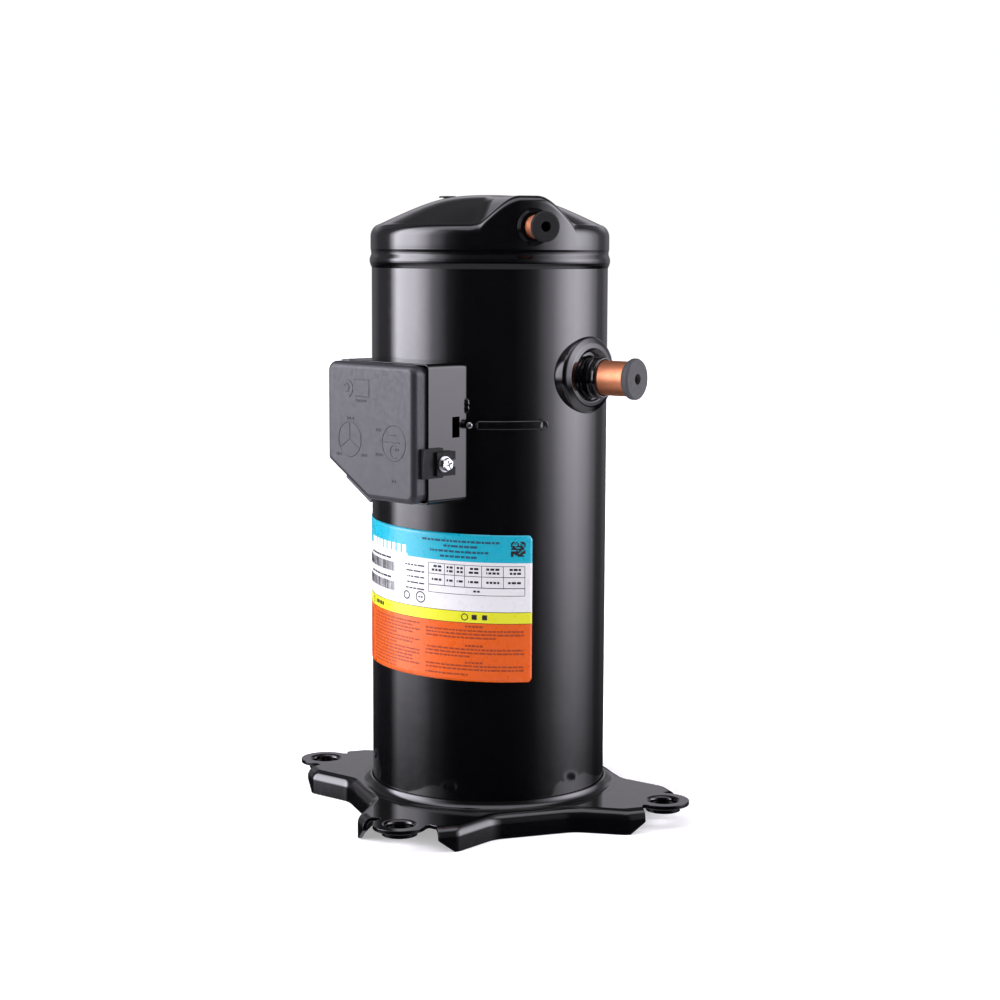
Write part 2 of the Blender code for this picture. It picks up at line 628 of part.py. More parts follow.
def terminal_header():
    """Steel cup with three insulated holes, and the pins that carry current through it."""
    place = BOX_FRAME @ Matrix.Translation((TERMINAL_X, TERMINAL_Z, 0.0))
    profile = mm([(0, 85.2), (17.6, 85.2), (18.4, 84.4), (18.4, 83.1), (16.2, 83.1), (16.2, 75), (14.6, 75),
                  (14.6, 81.8), (0, 81.8)])
    header = turned("terminal_header", profile, STEEL, place, PIECE_STEPS)
    for number, (x, y) in enumerate(PIN_PLACES, 1):
        place = BOX_FRAME @ Matrix.Translation((x, y, 0.0))
        hole = rod(f"pin_hole_{number}", 3.4 * MM, 60.0 * MM, 100.0 * MM, None, place, PIN_STEPS, True)
        combine(header, hole, "DIFFERENCE")
        ring(f"pin_seal_{number}", 1.9 * MM, 3.1 * MM, 80.8 * MM, 87.2 * MM, GLASS, place, PIN_STEPS)
        rod(f"terminal_pin_{number}", 1.6 * MM, 66.0 * MM, 97.5 * MM, COPPER, place, PIN_STEPS)


# --------------------------------------------------- label and shell fittings


def rating_label():
    """Thin film wrapped round the shell, stuck on slightly out of level."""
    mesh = bpy.data.meshes.new("rating_label")
    form = bmesh.new()
    columns = 24
    bmesh.ops.create_grid(form, x_segments=columns, y_segments=2, size=0.5)
    film = SHELL_RADIUS + GAP
    for vert in form.verts:
        turn = radians(LABEL_START + LABEL_SWEEP * (vert.co.x + 0.5))
        arc_length = SHELL_RADIUS * radians(-LABEL_SWEEP) * (vert.co.x + 0.5)
        height = LABEL_TOP + LABEL_SLOPE * arc_length - LABEL_HEIGHT * (0.5 - vert.co.y)
        vert.co = (film * cos(turn), film * sin(turn), height)
    form.to_mesh(mesh)
    form.free()
    smooth(mesh)
    label = add_object("rating_label", mesh, LABEL_FILM)
    skin = label.modifiers.new("film", "SOLIDIFY")
    skin.thickness = 0.4 * MM
    skin.offset = -1.0


def harness_strap():
    """Short bar welded to the shell beside the terminal box, and its stud."""
    inner = SHELL_RADIUS + GAP
    outer = inner + 3.2 * MM
    start, end = -116.0, -83.5
    points = arc((0.0, 0.0), inner, start, end, 8) + arc((0.0, 0.0), outer, end - 1.2, start + 1.2, 8)
    flat("harness_strap", [points], 275.6 * MM, 281.8 * MM, BLACK_PAINT)
    rod("strap_stud", 2.2 * MM, SHELL_RADIUS + 0.6 * MM, SHELL_RADIUS + 4.4 * MM, ZINC,
        radial_frame(-118.2, 278.6 * MM), PIN_STEPS)


# ---------------------------------------------------------------- scroll set

def involute_wall(turn):
    """Outline of a spiral wall of even thickness, turned about Z by an angle in degrees."""
    steps = int((WRAP_END - WRAP_START) / (2.0 * pi) * WRAP_STEPS_PER_TURN)
    outside, inside = [], []
    half = WRAP_WALL / 2.0 / INVOLUTE_BASE
    for i in range(steps + 1):
        angle = WRAP_START + (WRAP_END - WRAP_START) * i / steps
        for side, points in ((half, outside), (-half, inside)):
            reach = angle + side
            x = INVOLUTE_BASE * (cos(angle) + reach * sin(angle))
            y = INVOLUTE_BASE * (sin(angle) - reach * cos(angle))
            points.append((x * cos(radians(turn)) - y * sin(radians(turn)),
                           x * sin(radians(turn)) + y * cos(radians(turn))))
    return outside + list(reversed(inside))


ORBIT_SHIFT = Matrix.Translation((ORBIT, 0.0, 0.0))


def orbiting_scroll():
    """Moving scroll: a floor, a wall standing on it, a hub under it and two pockets for the ring's keys."""
    profile = mm([(0, 354), (60, 354), (60, 346), (19.2, 346), (19.2, 330.6), (13.6, 330.6), (13.6, 345),
                  (0, 345)])
    scroll = turned("orbiting_scroll", profile, CAST_IRON, ORBIT_SHIFT, PIECE_STEPS)
    wrap = flat("orbiting_wrap", [involute_wall(0.0)], 353.0 * MM, 376.0 * MM, None, ORBIT_SHIFT, True)
    combine(scroll, wrap, "UNION")
    for side in (-1, 1):
        half_width = 3.5 * MM + 2.0 * ORBIT + GAP
        ends = sorted((side * 40.0 * MM, side * 70.0 * MM))
        low = (-half_width, ends[0], 340.0 * MM)
        high = (half_width, ends[1], 350.2 * MM)
        name = f"key_pocket_{side + 2}"
        combine(scroll, block(name, low, high, None, ORBIT_SHIFT, True), "DIFFERENCE")


def fixed_scroll():
    """Still scroll: a thick plate with a wall hanging from it, an outer rim, a port and a seal groove."""
    body = turned("fixed_scroll", mm([(5, 386), (23, 386), (23, 379.6), (39, 379.6), (39, 386), (72, 386),
                                      (76, 383), (76, 350.3), (66.5, 350.3), (66.5, 354.4), (57.5, 354.4),
                                      (57.5, 376.4), (5, 376.4)]), CAST_IRON, None, CASTING_STEPS, True)
    wrap = flat("fixed_wrap", [involute_wall(180.0)], 354.4 * MM, 377.4 * MM, None, None, True)
    combine(body, wrap, "UNION")
    passage = rod("discharge_passage", 5.0 * MM, 370.0 * MM, 390.0 * MM, None, None, PIN_STEPS, True)
    combine(body, passage, "DIFFERENCE")
    inlet_low = (52.0 * MM, -14.0 * MM, 356.0 * MM)
    inlet_high = (90.0 * MM, 14.0 * MM, 374.0 * MM)
    inlet = block("inlet_window", inlet_low, inlet_high, None, None, True)
    combine(body, inlet, "DIFFERENCE")
    for name, place in bolt_places():
        hole = rod(f"{name}_hole", 3.3 * MM, 340.0 * MM, 390.0 * MM, None, place, PIN_STEPS, True)
        combine(body, hole, "DIFFERENCE")


def bolt_places():
    """The four bolts that hold the fixed scroll down on the housing."""
    reach = 71.0 * MM
    angles = (45.0, 135.0, 225.0, 315.0)
    places = [(reach * cos(radians(angle)), reach * sin(radians(angle)), 0.0) for angle in angles]
    return [(f"scroll_bolt_{number}", Matrix.Translation(place)) for number, place in enumerate(places, 1)]


def scroll_bolts():
    """Flat-headed bolts."""
    for name, place in bolt_places():
        profile = mm([(0, 388.4), (4.4, 388.4), (4.9, 387.9), (4.9, 386.3), (3, 386.3), (3, 332), (0, 332)])
        turned(name, profile, STEEL, place, PIN_STEPS)


def oldham_ring():
    """Ring with two keys up and two keys down, which keeps the moving scroll from turning."""
    coupling = ring("oldham_ring", 46.0 * MM, 57.0 * MM, 338.0 * MM, 342.0 * MM, ALUMINIUM, ORBIT_SHIFT,
                    PIECE_STEPS)
    for side in (-1, 1):
        ends = sorted((side * 47.0 * MM, side * 56.0 * MM))
        up_low = (-3.5 * MM, ends[0], 340.0 * MM)
        up_high = (3.5 * MM, ends[1], 349.4 * MM)
        combine(coupling, block(f"up_key_{side + 2}", up_low, up_high, None, ORBIT_SHIFT, True), "UNION")
        down_low = (ends[0], -3.5 * MM, 333.6 * MM)
        down_high = (ends[1], 3.5 * MM, 340.0 * MM)
        down_key = block(f"down_key_{side + 2}", down_low, down_high, None, ORBIT_SHIFT, True)
        combine(coupling, down_key, "UNION")


def main_housing():
    """Cast frame that holds the main bearing, the thrust plate and the fixed scroll."""
    profile = mm([(14.3, 325.6), (27, 325.6), (27, 341.7), (41, 341.7), (41, 337.7), (66, 337.7), (66, 350),
                  (78.9, 350), (78.9, 326), (60, 326), (36, 312), (22.5, 306), (22.5, 262), (14.3, 262)])
    housing = turned("main_bearing_housing", profile, CAST_IRON, None, CASTING_STEPS, True)
    for side in (-1, 1):
        ends = sorted((side * 41.6 * MM, side * 63.5 * MM))
        low = (ends[0], -3.8 * MM, 333.2 * MM)
        high = (ends[1], 3.8 * MM, 345.0 * MM)
        combine(housing, block(f"key_groove_{side + 2}", low, high, None, None, True), "DIFFERENCE")
    for name, place in bolt_places():
        hole = rod(f"{name}_seat", 3.3 * MM, 331.0 * MM, 352.0 * MM, None, place, PIN_STEPS, True)
        combine(housing, hole, "DIFFERENCE")
    for angle in (0.0, 90.0, 180.0, 270.0):
        spin = Matrix.Rotation(radians(angle), 4, "Z")
        passage = block(f"oil_return_{int(angle)}", (73.0 * MM, -9.0 * MM, 320.0 * MM),
                        (82.0 * MM, 9.0 * MM, 352.0 * MM), None, spin, True)
        combine(housing, passage, "DIFFERENCE")
    ring("main_bearing_bush", BUSH_BORE, BUSH_RADIUS, 263.0 * MM, 325.3 * MM, BRONZE)
    ring("thrust_plate", 27.5 * MM, 40.5 * MM, 342.0 * MM, 345.7 * MM, STEEL)


def seal_and_valves():
    """Floating seal, discharge check valve with its cage, and the pressure relief valve."""
    seal = mm([(24, 394.8), (29, 394.8), (29, 389), (38, 389), (38, 381.2), (24, 381.2)])
    turned("floating_seal", seal, ALUMINIUM, None, PIECE_STEPS, True)
    rod("check_valve_disc", 8.4 * MM, 386.4 * MM, 387.6 * MM, STEEL, None, SMALL_STEPS)
    cage = mm([(9.2, 389.6), (9.2, 386.3), (12.4, 386.3), (12.4, 393.2), (4, 393.2), (4, 391.4),
               (9.2, 391.4)])
    cage = turned("check_valve_cage", list(reversed(cage)), STEEL, None, SMALL_STEPS, True)
    for number, angle in enumerate((30.0, 150.0, 270.0)):
        low = (6.0 * MM, -3.0 * MM, 387.2 * MM)
        high = (16.0 * MM, 3.0 * MM, 390.8 * MM)
        spin = Matrix.Rotation(radians(angle), 4, "Z")
        window = block(f"cage_window_{number}", low, high, None, spin, True)
        combine(cage, window, "DIFFERENCE")
    relief = mm([(0, 412), (4, 412), (4.6, 411), (4.6, 404), (7, 403), (7, 398.8), (0, 398.8)])
    turned("relief_valve", relief, BRONZE, Matrix.Translation((40.0 * MM, 24.0 * MM, 0.0)), PIN_STEPS)


# --------------------------------------------------------------------- motor

def stator():
    """Laminated stack with slots round its bore and flats on its outside, and its two end windings."""
    points = []
    bore = []
    for slot in range(STATOR_SLOTS):
        centre = 360.0 * slot / STATOR_SLOTS
        for radius, turn in ((STATOR_BORE, -4.6), (STATOR_BORE, -1.5), (42.0 * MM, -1.5), (46.0 * MM, -3.6),
                             (60.0 * MM, -3.6), (60.0 * MM, 3.6), (46.0 * MM, 3.6), (42.0 * MM, 1.5),
                             (STATOR_BORE, 1.5), (STATOR_BORE, 4.6)):
            angle = radians(centre + turn)
            bore.append((radius * cos(angle), radius * sin(angle)))
    for side in range(4):
        middle = 90.0 * side + 45.0
        points += arc((0.0, 0.0), 78.9 * MM, middle - 27.0, middle + 27.0, 6)
    flat("stator_core", [points, bore], STATOR_LOW, STATOR_HIGH, ELECTRICAL_STEEL)
    for name, low, sign in (("upper_winding", STATOR_HIGH + GAP, 1), ("lower_winding", STATOR_LOW - GAP, -1)):
        section = [(43.0, 0), (42.4, 12), (45, 22), (52, 26), (59, 22), (61.4, 12), (60.5, 0)]
        profile = [(r * MM, low + sign * h * MM) for r, h in section]
        if sign < 0:
            profile.reverse()
        turned(name, profile, WINDING, None, PIECE_STEPS, True)
    turned("motor_protector", mm([(0, 247), (7, 247), (8, 246), (8, 240.2), (0, 240.2)]), STEEL,
           Matrix.Translation((0.0, 52.0 * MM, 0.0)), SMALL_STEPS)


def rotor():
    """Rotor stack with its cast end rings, on the shaft."""
    hole = SHAFT_RADIUS + GAP
    ring("rotor_core", hole, ROTOR_RADIUS, 114.0 * MM, 210.0 * MM, ELECTRICAL_STEEL)
    ring("rotor_upper_ring", 24.0 * MM, 36.6 * MM, 210.3 * MM, 219.0 * MM, ALUMINIUM)
    ring("rotor_lower_ring", 24.0 * MM, 36.6 * MM, 105.0 * MM, 113.7 * MM, ALUMINIUM)


def counterweight(name, low, high, start, end):
    """A half-ring mass clamped on the shaft by a full ring."""
    weight = ring(name, SHAFT_RADIUS + GAP, 17.0 * MM, low, high, BRONZE, None, SMALL_STEPS)
    outline = arc((0.0, 0.0), 34.0 * MM, start, end, 14) + arc((0.0, 0.0), 14.0 * MM, end, start, 10)
    combine(weight, flat(f"{name}_mass", [outline], low + 1.0 * MM, high, None, None, True), "UNION")


def crankshaft():
    """Shaft with an eccentric drive pin at its top and an oil drilling up from its foot."""
    shaft = turned("crankshaft", mm([(0, 328.4), (16, 328.4), (16, 326.6), (11, 326.2), (11, 70), (9, 69),
                                     (9, 38), (0, 38)]), STEEL, None, SMALL_STEPS)
    pin = rod("drive_pin", 8.0 * MM, 327.0 * MM, 343.6 * MM, None, ORBIT_SHIFT, SMALL_STEPS, True)
    combine(shaft, pin, "UNION")
    tilt = Matrix.Translation((1.2 * MM, 0.0, 0.0))
    drilling = rod("oil_drilling", 2.0 * MM, 30.0 * MM, 350.0 * MM, None, tilt, PIN_STEPS, True)
    combine(shaft, drilling, "DIFFERENCE")
    ring("drive_bush", 8.3 * MM, 13.2 * MM, 329.0 * MM, 344.0 * MM, BRONZE, ORBIT_SHIFT, SMALL_STEPS)
    counterweight("upper_counterweight", 226.0 * MM, 250.0 * MM, 95.0, 265.0)
    counterweight("lower_counterweight", 84.0 * MM, 101.0 * MM, -85.0, 85.0)
    pickup = mm([(9.3, 60), (10.8, 60), (10.8, 36), (4.4, 20), (2.6, 14), (1.6, 14), (3.2, 21), (9.3, 37)])
    turned("oil_pickup", pickup, STEEL, None, SMALL_STEPS, True)


def lower_bearing():
    """Pressed plate that carries the lower bearing, its bush and the magnet that catches debris."""
    profile = mm([(14.3, 80), (19, 80), (22, 72), (70, 72), (78.9, 82), (78.9, 62), (70, 58), (21, 58),
                  (14.3, 62)])
    plate = turned("lower_bearing_plate", profile, CAST_IRON, None, CASTING_STEPS, True)
    for angle in (0.0, 120.0, 240.0):
        spin = Matrix.Rotation(radians(angle), 4, "Z")
        low = (30.0 * MM, -20.0 * MM, 50.0 * MM)
        high = (66.0 * MM, 20.0 * MM, 90.0 * MM)
        window = block(f"drain_{int(angle)}", low, high, None, spin, True)
        combine(plate, window, "DIFFERENCE")
    ring("lower_bearing_bush", BUSH_BORE, BUSH_RADIUS, 63.0 * MM, 79.0 * MM, BRONZE)
    magnet = Matrix.Translation((48.0 * MM, -20.0 * MM, 0.0))
    rod("debris_magnet", 9.0 * MM, 8.4 * MM, 13.4 * MM, CAST_IRON, magnet, SMALL_STEPS)


def suction_baffle():
    """Bent sheet inside the shell that turns the incoming gas downwards."""
    inner = 68.5 * MM
    outer = 70.0 * MM
    half = 22.0
    points = arc((0.0, 0.0), inner, SUCTION_ANGLE - half, SUCTION_ANGLE + half, 8)
    points += arc((0.0, 0.0), 78.6 * MM, SUCTION_ANGLE + half, SUCTION_ANGLE + half - 2.0, 1)
    points += arc((0.0, 0.0), outer, SUCTION_ANGLE + half - 2.0, SUCTION_ANGLE - half + 2.0, 8)
    points += arc((0.0, 0.0), 78.6 * MM, SUCTION_ANGLE - half + 2.0, SUCTION_ANGLE - half, 1)
    flat("suction_baffle", [points], 288.0 * MM, 324.0 * MM, STEEL)


def lead_wires():
    """Insulated leads from the pins' inner ends down to the upper winding."""
    for number, (x, z) in enumerate(PIN_PLACES, 1):
        start = BOX_FRAME @ Vector((x, z, 64.9 * MM))
        bend = BOX_FRAME @ Vector((x * 0.9, z - 2.0 * MM, 58.0 * MM))
        turn = BOX_FRAME @ Vector((x * 0.8, 255.0 * MM + (number % 2) * 2.0 * MM, 53.0 * MM))
        end = BOX_FRAME @ Vector((x * 0.8, 239.6 * MM, 52.0 * MM))
        steps = 10
        route = []
        for i in range(steps + 1):
            t = i / steps
            weights = ((1 - t) ** 3, 3 * t * (1 - t) ** 2, 3 * t * t * (1 - t), t ** 3)
            route.append(sum((w * p for w, p in zip(weights, (start, bend, turn, end))), Vector()))
        wire(f"lead_wire_{number}", route, 1.5 * MM, INSULATION)


base_plate()
shell_tube()
lower_shell_cap()
top_cap()
sensor_pocket()
separator_plate()
suction_port()
discharge_port()
terminal_fence()
terminal_cover()
cover_screw()
terminal_header()
rating_label()
harness_strap()
orbiting_scroll()
fixed_scroll()
scroll_bolts()
oldham_ring()
main_housing()
seal_and_valves()
stator()
rotor()
crankshaft()
lower_bearing()
suction_baffle()
lead_wires()
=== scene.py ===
import json
import random
from math import atan2, cos, exp, hypot, log, pi, radians, sin, sqrt, tan

import bmesh
import bpy
from mathutils import Matrix, Vector


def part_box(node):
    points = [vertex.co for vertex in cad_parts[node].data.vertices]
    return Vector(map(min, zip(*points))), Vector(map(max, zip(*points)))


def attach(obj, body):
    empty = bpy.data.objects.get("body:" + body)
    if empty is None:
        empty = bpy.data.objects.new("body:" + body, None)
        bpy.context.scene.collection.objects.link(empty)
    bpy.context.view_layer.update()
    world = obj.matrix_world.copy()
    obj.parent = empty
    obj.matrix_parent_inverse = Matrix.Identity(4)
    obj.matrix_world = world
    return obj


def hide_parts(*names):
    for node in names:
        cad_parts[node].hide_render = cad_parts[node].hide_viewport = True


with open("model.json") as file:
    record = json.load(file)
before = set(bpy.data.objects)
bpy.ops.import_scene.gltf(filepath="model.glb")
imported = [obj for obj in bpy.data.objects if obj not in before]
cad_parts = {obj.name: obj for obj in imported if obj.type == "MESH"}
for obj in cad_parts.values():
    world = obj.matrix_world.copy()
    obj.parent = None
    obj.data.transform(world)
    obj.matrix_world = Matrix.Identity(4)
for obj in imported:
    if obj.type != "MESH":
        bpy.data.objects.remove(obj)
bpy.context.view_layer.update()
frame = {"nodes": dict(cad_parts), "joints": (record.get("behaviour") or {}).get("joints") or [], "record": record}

# Fine surfaces, finishes, studio and camera for the scroll compressor. Lengths are metres and MM turns
# millimetres into metres; profiles, the label and its print are drawn in millimetres. Angles about the
# shell's axis are in degrees from +X.

MM = 0.001
UP = Vector((0.0, 0.0, 1.0))

# ---- places from the frame


def joint_axis(name):
    """Direction in which a joint's part moves."""
    return Vector(next(joint["axis"] for joint in frame["joints"] if joint["name"] == name)).normalized()


def middle(node):
    """Centre of a CAD node's box."""
    low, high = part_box(node)
    return (low + high) / 2.0


def half_height(node):
    """Half of a CAD node's height."""
    low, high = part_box(node)
    return (high.z - low.z) / 2.0


def shifted(x, y, z=0.0):
    """A plain move."""
    return Matrix.Translation((x, y, z))


def radial_frame(outward, height):
    """Frame at the shell's axis: +Z outward, +Y up, +X to the side."""
    rotation = Matrix((UP.cross(outward), UP, outward)).transposed().to_4x4()
    return shifted(0.0, 0.0, height) @ rotation


def direction(angle):
    """Level unit vector at an angle about the shell's axis."""
    return Vector((cos(radians(angle)), sin(radians(angle)), 0.0))


SHELL_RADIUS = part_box("shell_tube")[1].x
SHELL_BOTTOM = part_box("shell_tube")[0].z
SHELL_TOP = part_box("shell_tube")[1].z
SHELL_WALL = 3.2 * MM
CAP_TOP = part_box("top_cap")[1].z
CAP_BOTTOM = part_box("top_cap")[0].z
CAP_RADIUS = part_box("top_cap")[1].x

SUCTION = radial_frame(joint_axis("suction_plug_pull"), middle("suction_stub").z)
DISCHARGE = radial_frame(joint_axis("discharge_plug_pull"), middle("discharge_stub").z)

BOX = radial_frame(joint_axis("cover_pull"), 0.0)
BOX_LEFT = -42.1 * MM
BOX_RIGHT = 48.1 * MM
BOX_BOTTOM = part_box("terminal_cover")[0].z
BOX_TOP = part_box("terminal_cover")[1].z
BOX_FRONT = 112.6 * MM
BOX_SKIRT = 104.2 * MM
BOX_CHAMFER_WIDTH = 43.0 * MM
BOX_CHAMFER_HEIGHT = 24.4 * MM
BOX_CORNER = 7.0 * MM
FENCE_CORNER = 2.7 * MM
FENCE_BACK = 58.0 * MM
FENCE_FRONT = 100.4 * MM
FENCE_GROW = 0.7 * MM
FENCE_WALL = 1.5 * MM
SCREW_Z = middle("cover_screw").z
SCREW_DEPTH = 90.0 * MM
TAB_INNER = BOX_RIGHT + 1.0 * MM
TAB_OUTER = BOX_RIGHT + 3.0 * MM
BOSS_OUTER = BOX_RIGHT + 5.2 * MM
SCREW_SEAT = BOX_RIGHT / MM + 5.5
ACROSS_SCREW = shifted(0.0, SCREW_Z, SCREW_DEPTH) @ Matrix.Rotation(radians(90.0), 4, "Y")

# ---- materials


def grey(shade, blue=1.0):
    """Grey with its blue raised."""
    return (shade, shade, shade * blue)


def feed(tree, socket, value):
    """Link a socket to another, or give it a value."""
    if isinstance(value, bpy.types.NodeSocket):
        tree.links.new(value, socket)
    else:
        socket.default_value = value


def new_node(tree, kind, inputs, **settings):
    """A new node. Settings are its properties; inputs are its sockets' values or links, by name or number."""
    made = tree.nodes.new(kind)
    for key, value in settings.items():
        setattr(made, key, value)
    for key, value in dict(inputs).items():
        feed(tree, made.inputs[key], value)
    return made


class Finish:
    """A Principled material and the patterns that vary it. A pattern is a socket, or (waves per metre,
    detail) for plain noise."""

    def __init__(self, name, colour, roughness, metallic=0.0, specular=0.5):
        self.material = bpy.data.materials.new(name)
        self.material.use_nodes = True
        self.tree = self.material.node_tree
        self.shader = self.tree.nodes["Principled BSDF"]
        self.set("Base Color", (*colour, 1.0))
        self.set("Roughness", roughness)
        self.set("Metallic", metallic)
        self.set("Specular IOR Level", specular)
        self.place = self.add("ShaderNodeTexCoord").outputs["Object"]

    def set(self, name, value):
        """Give one of the shader's sockets a value or a link."""
        feed(self.tree, self.shader.inputs[name], value)

    def add(self, kind, inputs=(), **settings):
        """A new node of this material."""
        return new_node(self.tree, kind, inputs, **settings)

    def noise(self, waves, detail, place=None):
        """Noise in waves per metre."""
        inputs = {"Scale": waves, "Detail": detail, "Vector": place or self.place}
        return self.add("ShaderNodeTexNoise", inputs).outputs["Fac"]

    def pattern(self, value):
        """The socket of a pattern."""
        return self.noise(*value) if isinstance(value, tuple) else value

    def span(self, value, low, high, start=0.0, end=1.0):
        """Map a pattern from start..end to low..high."""
        limits = {"From Min": start, "From Max": end, "To Min": low, "To Max": high}
        return self.add("ShaderNodeMapRange", {**limits, "Value": self.pattern(value)}).outputs["Result"]

    def colour(self, value, first, second):
        """Vary the base colour between two colours."""
        # a Mix node has several sockets called A, B and Factor; the colour ones are 6 and 7
        inputs = {0: self.pattern(value), 6: (*first, 1.0), 7: (*second, 1.0)}
        self.set("Base Color", self.add("ShaderNodeMix", inputs, data_type="RGBA").outputs[2])

    def roughness(self, value, low, high):
        """Vary the roughness."""
        self.set("Roughness", self.span(value, low, high, 0.3, 0.7))

    def bump(self, value, distance, strength):
        """Add a bump on top of any earlier one."""
        inputs = {"Strength": strength, "Distance": distance, "Height": self.pattern(value)}
        for earlier in self.shader.inputs["Normal"].links:
            inputs["Normal"] = earlier.from_socket
        self.set("Normal", self.add("ShaderNodeBump", inputs).outputs["Normal"])


def noisy(name, base, roughness, colours, spread, bumps, metallic=0.0, specular=0.5):
    """A material whose colour, roughness and surface follow patterns: (pattern, low, high) for the first two
    and (pattern, distance, strength) for each bump."""
    finish = Finish(name, base, roughness, metallic, specular)
    finish.colour(*colours)
    if spread:
        finish.roughness(*spread)
    for bump in bumps:
        finish.bump(*bump)
    return finish.material


def black_enamel(name, base=0.0012, gloss=0.5):
    """Glossy baked enamel: nearly black, faint orange peel, a little dust in the gloss."""
    low, high = (base * 0.7, base * 0.7, base), (base * 1.6, base * 1.6, base * 2.1)
    return noisy(name, grey(base, 1.3), 0.1, ((70.0, 5.0), low, high), ((180.0, 6.0), 0.07, 0.13),
                 [((700.0, 2.0), 0.00002, 0.35), ((45.0, 2.0), 0.0004, 0.12)], specular=gloss)


def moulded_plastic(name, shade, gloss):
    """Satin black plastic with a spark-eroded grain."""
    colours = ((25.0, 4.0), grey(shade * 0.88, 1.2), grey(shade * 1.14, 1.2))
    return noisy(name, grey(shade, 1.2), 0.4, colours, ((300.0, 5.0), 0.34, 0.46),
                 [((2600.0, 3.0), 0.00003, 0.5)], specular=gloss)


def moulded_rubber(name, shade):
    """Matt rubber with a fine skin."""
    colours = ((160.0, 5.0), grey(shade * 0.85), (shade * 1.15, shade * 1.15, shade * 1.22))
    return noisy(name, grey(shade, 1.05), 0.62, colours, ((400.0, 4.0), 0.52, 0.7),
                 [((1500.0, 3.0), 0.00004, 0.5)], specular=0.2)


def metal(name, colour, roughness, grain=900.0, depth=0.00002):
    """Bare metal with a fine grain."""
    darker = tuple(value * 0.8 for value in colour)
    return noisy(name, colour, roughness, ((120.0, 5.0), darker, colour),
                 ((grain * 0.5, 5.0), roughness * 0.75, roughness * 1.3), [((grain, 4.0), depth, 0.6)], 1.0)


def fused_glass():
    """Dark sealing glass round the pins."""
    colours = ((500.0, 4.0), (0.05, 0.09, 0.075), (0.11, 0.16, 0.13))
    return noisy("terminal_glass", (0.08, 0.12, 0.1), 0.12, colours, None, [((900.0, 2.0), 0.00003, 0.4)])


def printed(name, colour):
    """Flat printing ink with slightly uneven cover."""
    paler = tuple(min(value * 1.25 + 0.01, 1.0) for value in colour)
    return noisy(name, colour, 0.36, ((1200.0, 3.0), colour, paler), None, [], specular=0.2)


def drawn_copper():
    """Drawn copper tube: fine lengthwise lines and slight tarnish."""
    finish = Finish("copper", (0.62, 0.25, 0.13), 0.48, 1.0)
    finish.colour((140.0, 6.0), (0.5, 0.17, 0.08), (0.66, 0.29, 0.16))
    drawn = finish.add("ShaderNodeMapping", {"Scale": (2500.0, 2500.0, 60.0), "Vector": finish.place})
    lines = finish.noise(1.0, 3.0, drawn.outputs["Vector"])
    finish.roughness(lines, 0.42, 0.56)
    finish.bump(lines, 0.00002, 0.5)
    return finish.material


def striped(name, colour, other, roughness, metallic, waves, axis="Z", depth=0.00005, distortion=0.0):
    """Fine parallel ridges, as on stacked sheets or wound wire."""
    finish = Finish(name, colour, roughness, metallic)
    inputs = {"Scale": waves, "Distortion": distortion, "Vector": finish.place}
    ridges = finish.add("ShaderNodeTexWave", inputs, bands_direction=axis).outputs["Fac"]
    finish.colour(ridges, other, colour)
    finish.roughness((300.0, 4.0), roughness * 0.8, roughness * 1.2)
    finish.bump(ridges, depth, 0.8)
    return finish.material


# The label's bands, in millimetres down from its top edge
LABEL_HEIGHT = 100.4
TEAL_END, PAPER_END, YELLOW_END = 18.5, 52.5, 60.3
TEAL = (0.001, 0.3, 0.4)
PAPER = grey(0.575)
YELLOW = (0.55, 0.55, 0.012)
ORANGE = (0.56, 0.078, 0.001)


def label_film():
    """Printed film: four flat bands across it, from its second UV coordinate, under a soft gloss."""
    finish = Finish("label_film", PAPER, 0.22, 0.0, 0.4)
    film = finish.add("ShaderNodeTexCoord").outputs["UV"]
    across = finish.add("ShaderNodeSeparateXYZ", {"Vector": film}).outputs["Y"]
    ramp = finish.add("ShaderNodeValToRGB", {"Fac": across})
    ramp.color_ramp.interpolation = "CONSTANT"
    stops = ramp.color_ramp.elements
    stops[0].color = (*TEAL, 1.0)
    stops[1].position = TEAL_END / LABEL_HEIGHT
    stops[1].color = (*PAPER, 1.0)
    for end, colour in ((PAPER_END, YELLOW), (YELLOW_END, ORANGE)):
        stops.new(end / LABEL_HEIGHT).color = (*colour, 1.0)
    inputs = {0: ramp.outputs["Color"], "Scale": finish.span((900.0, 3.0), 0.93, 1.0)}
    shade = finish.add("ShaderNodeVectorMath", inputs, operation="SCALE")
    finish.set("Base Color", shade.outputs["Vector"])
    finish.roughness((220.0, 4.0), 0.24, 0.36)
    finish.bump((60.0, 2.0), 0.0003, 0.12)
    return finish.material


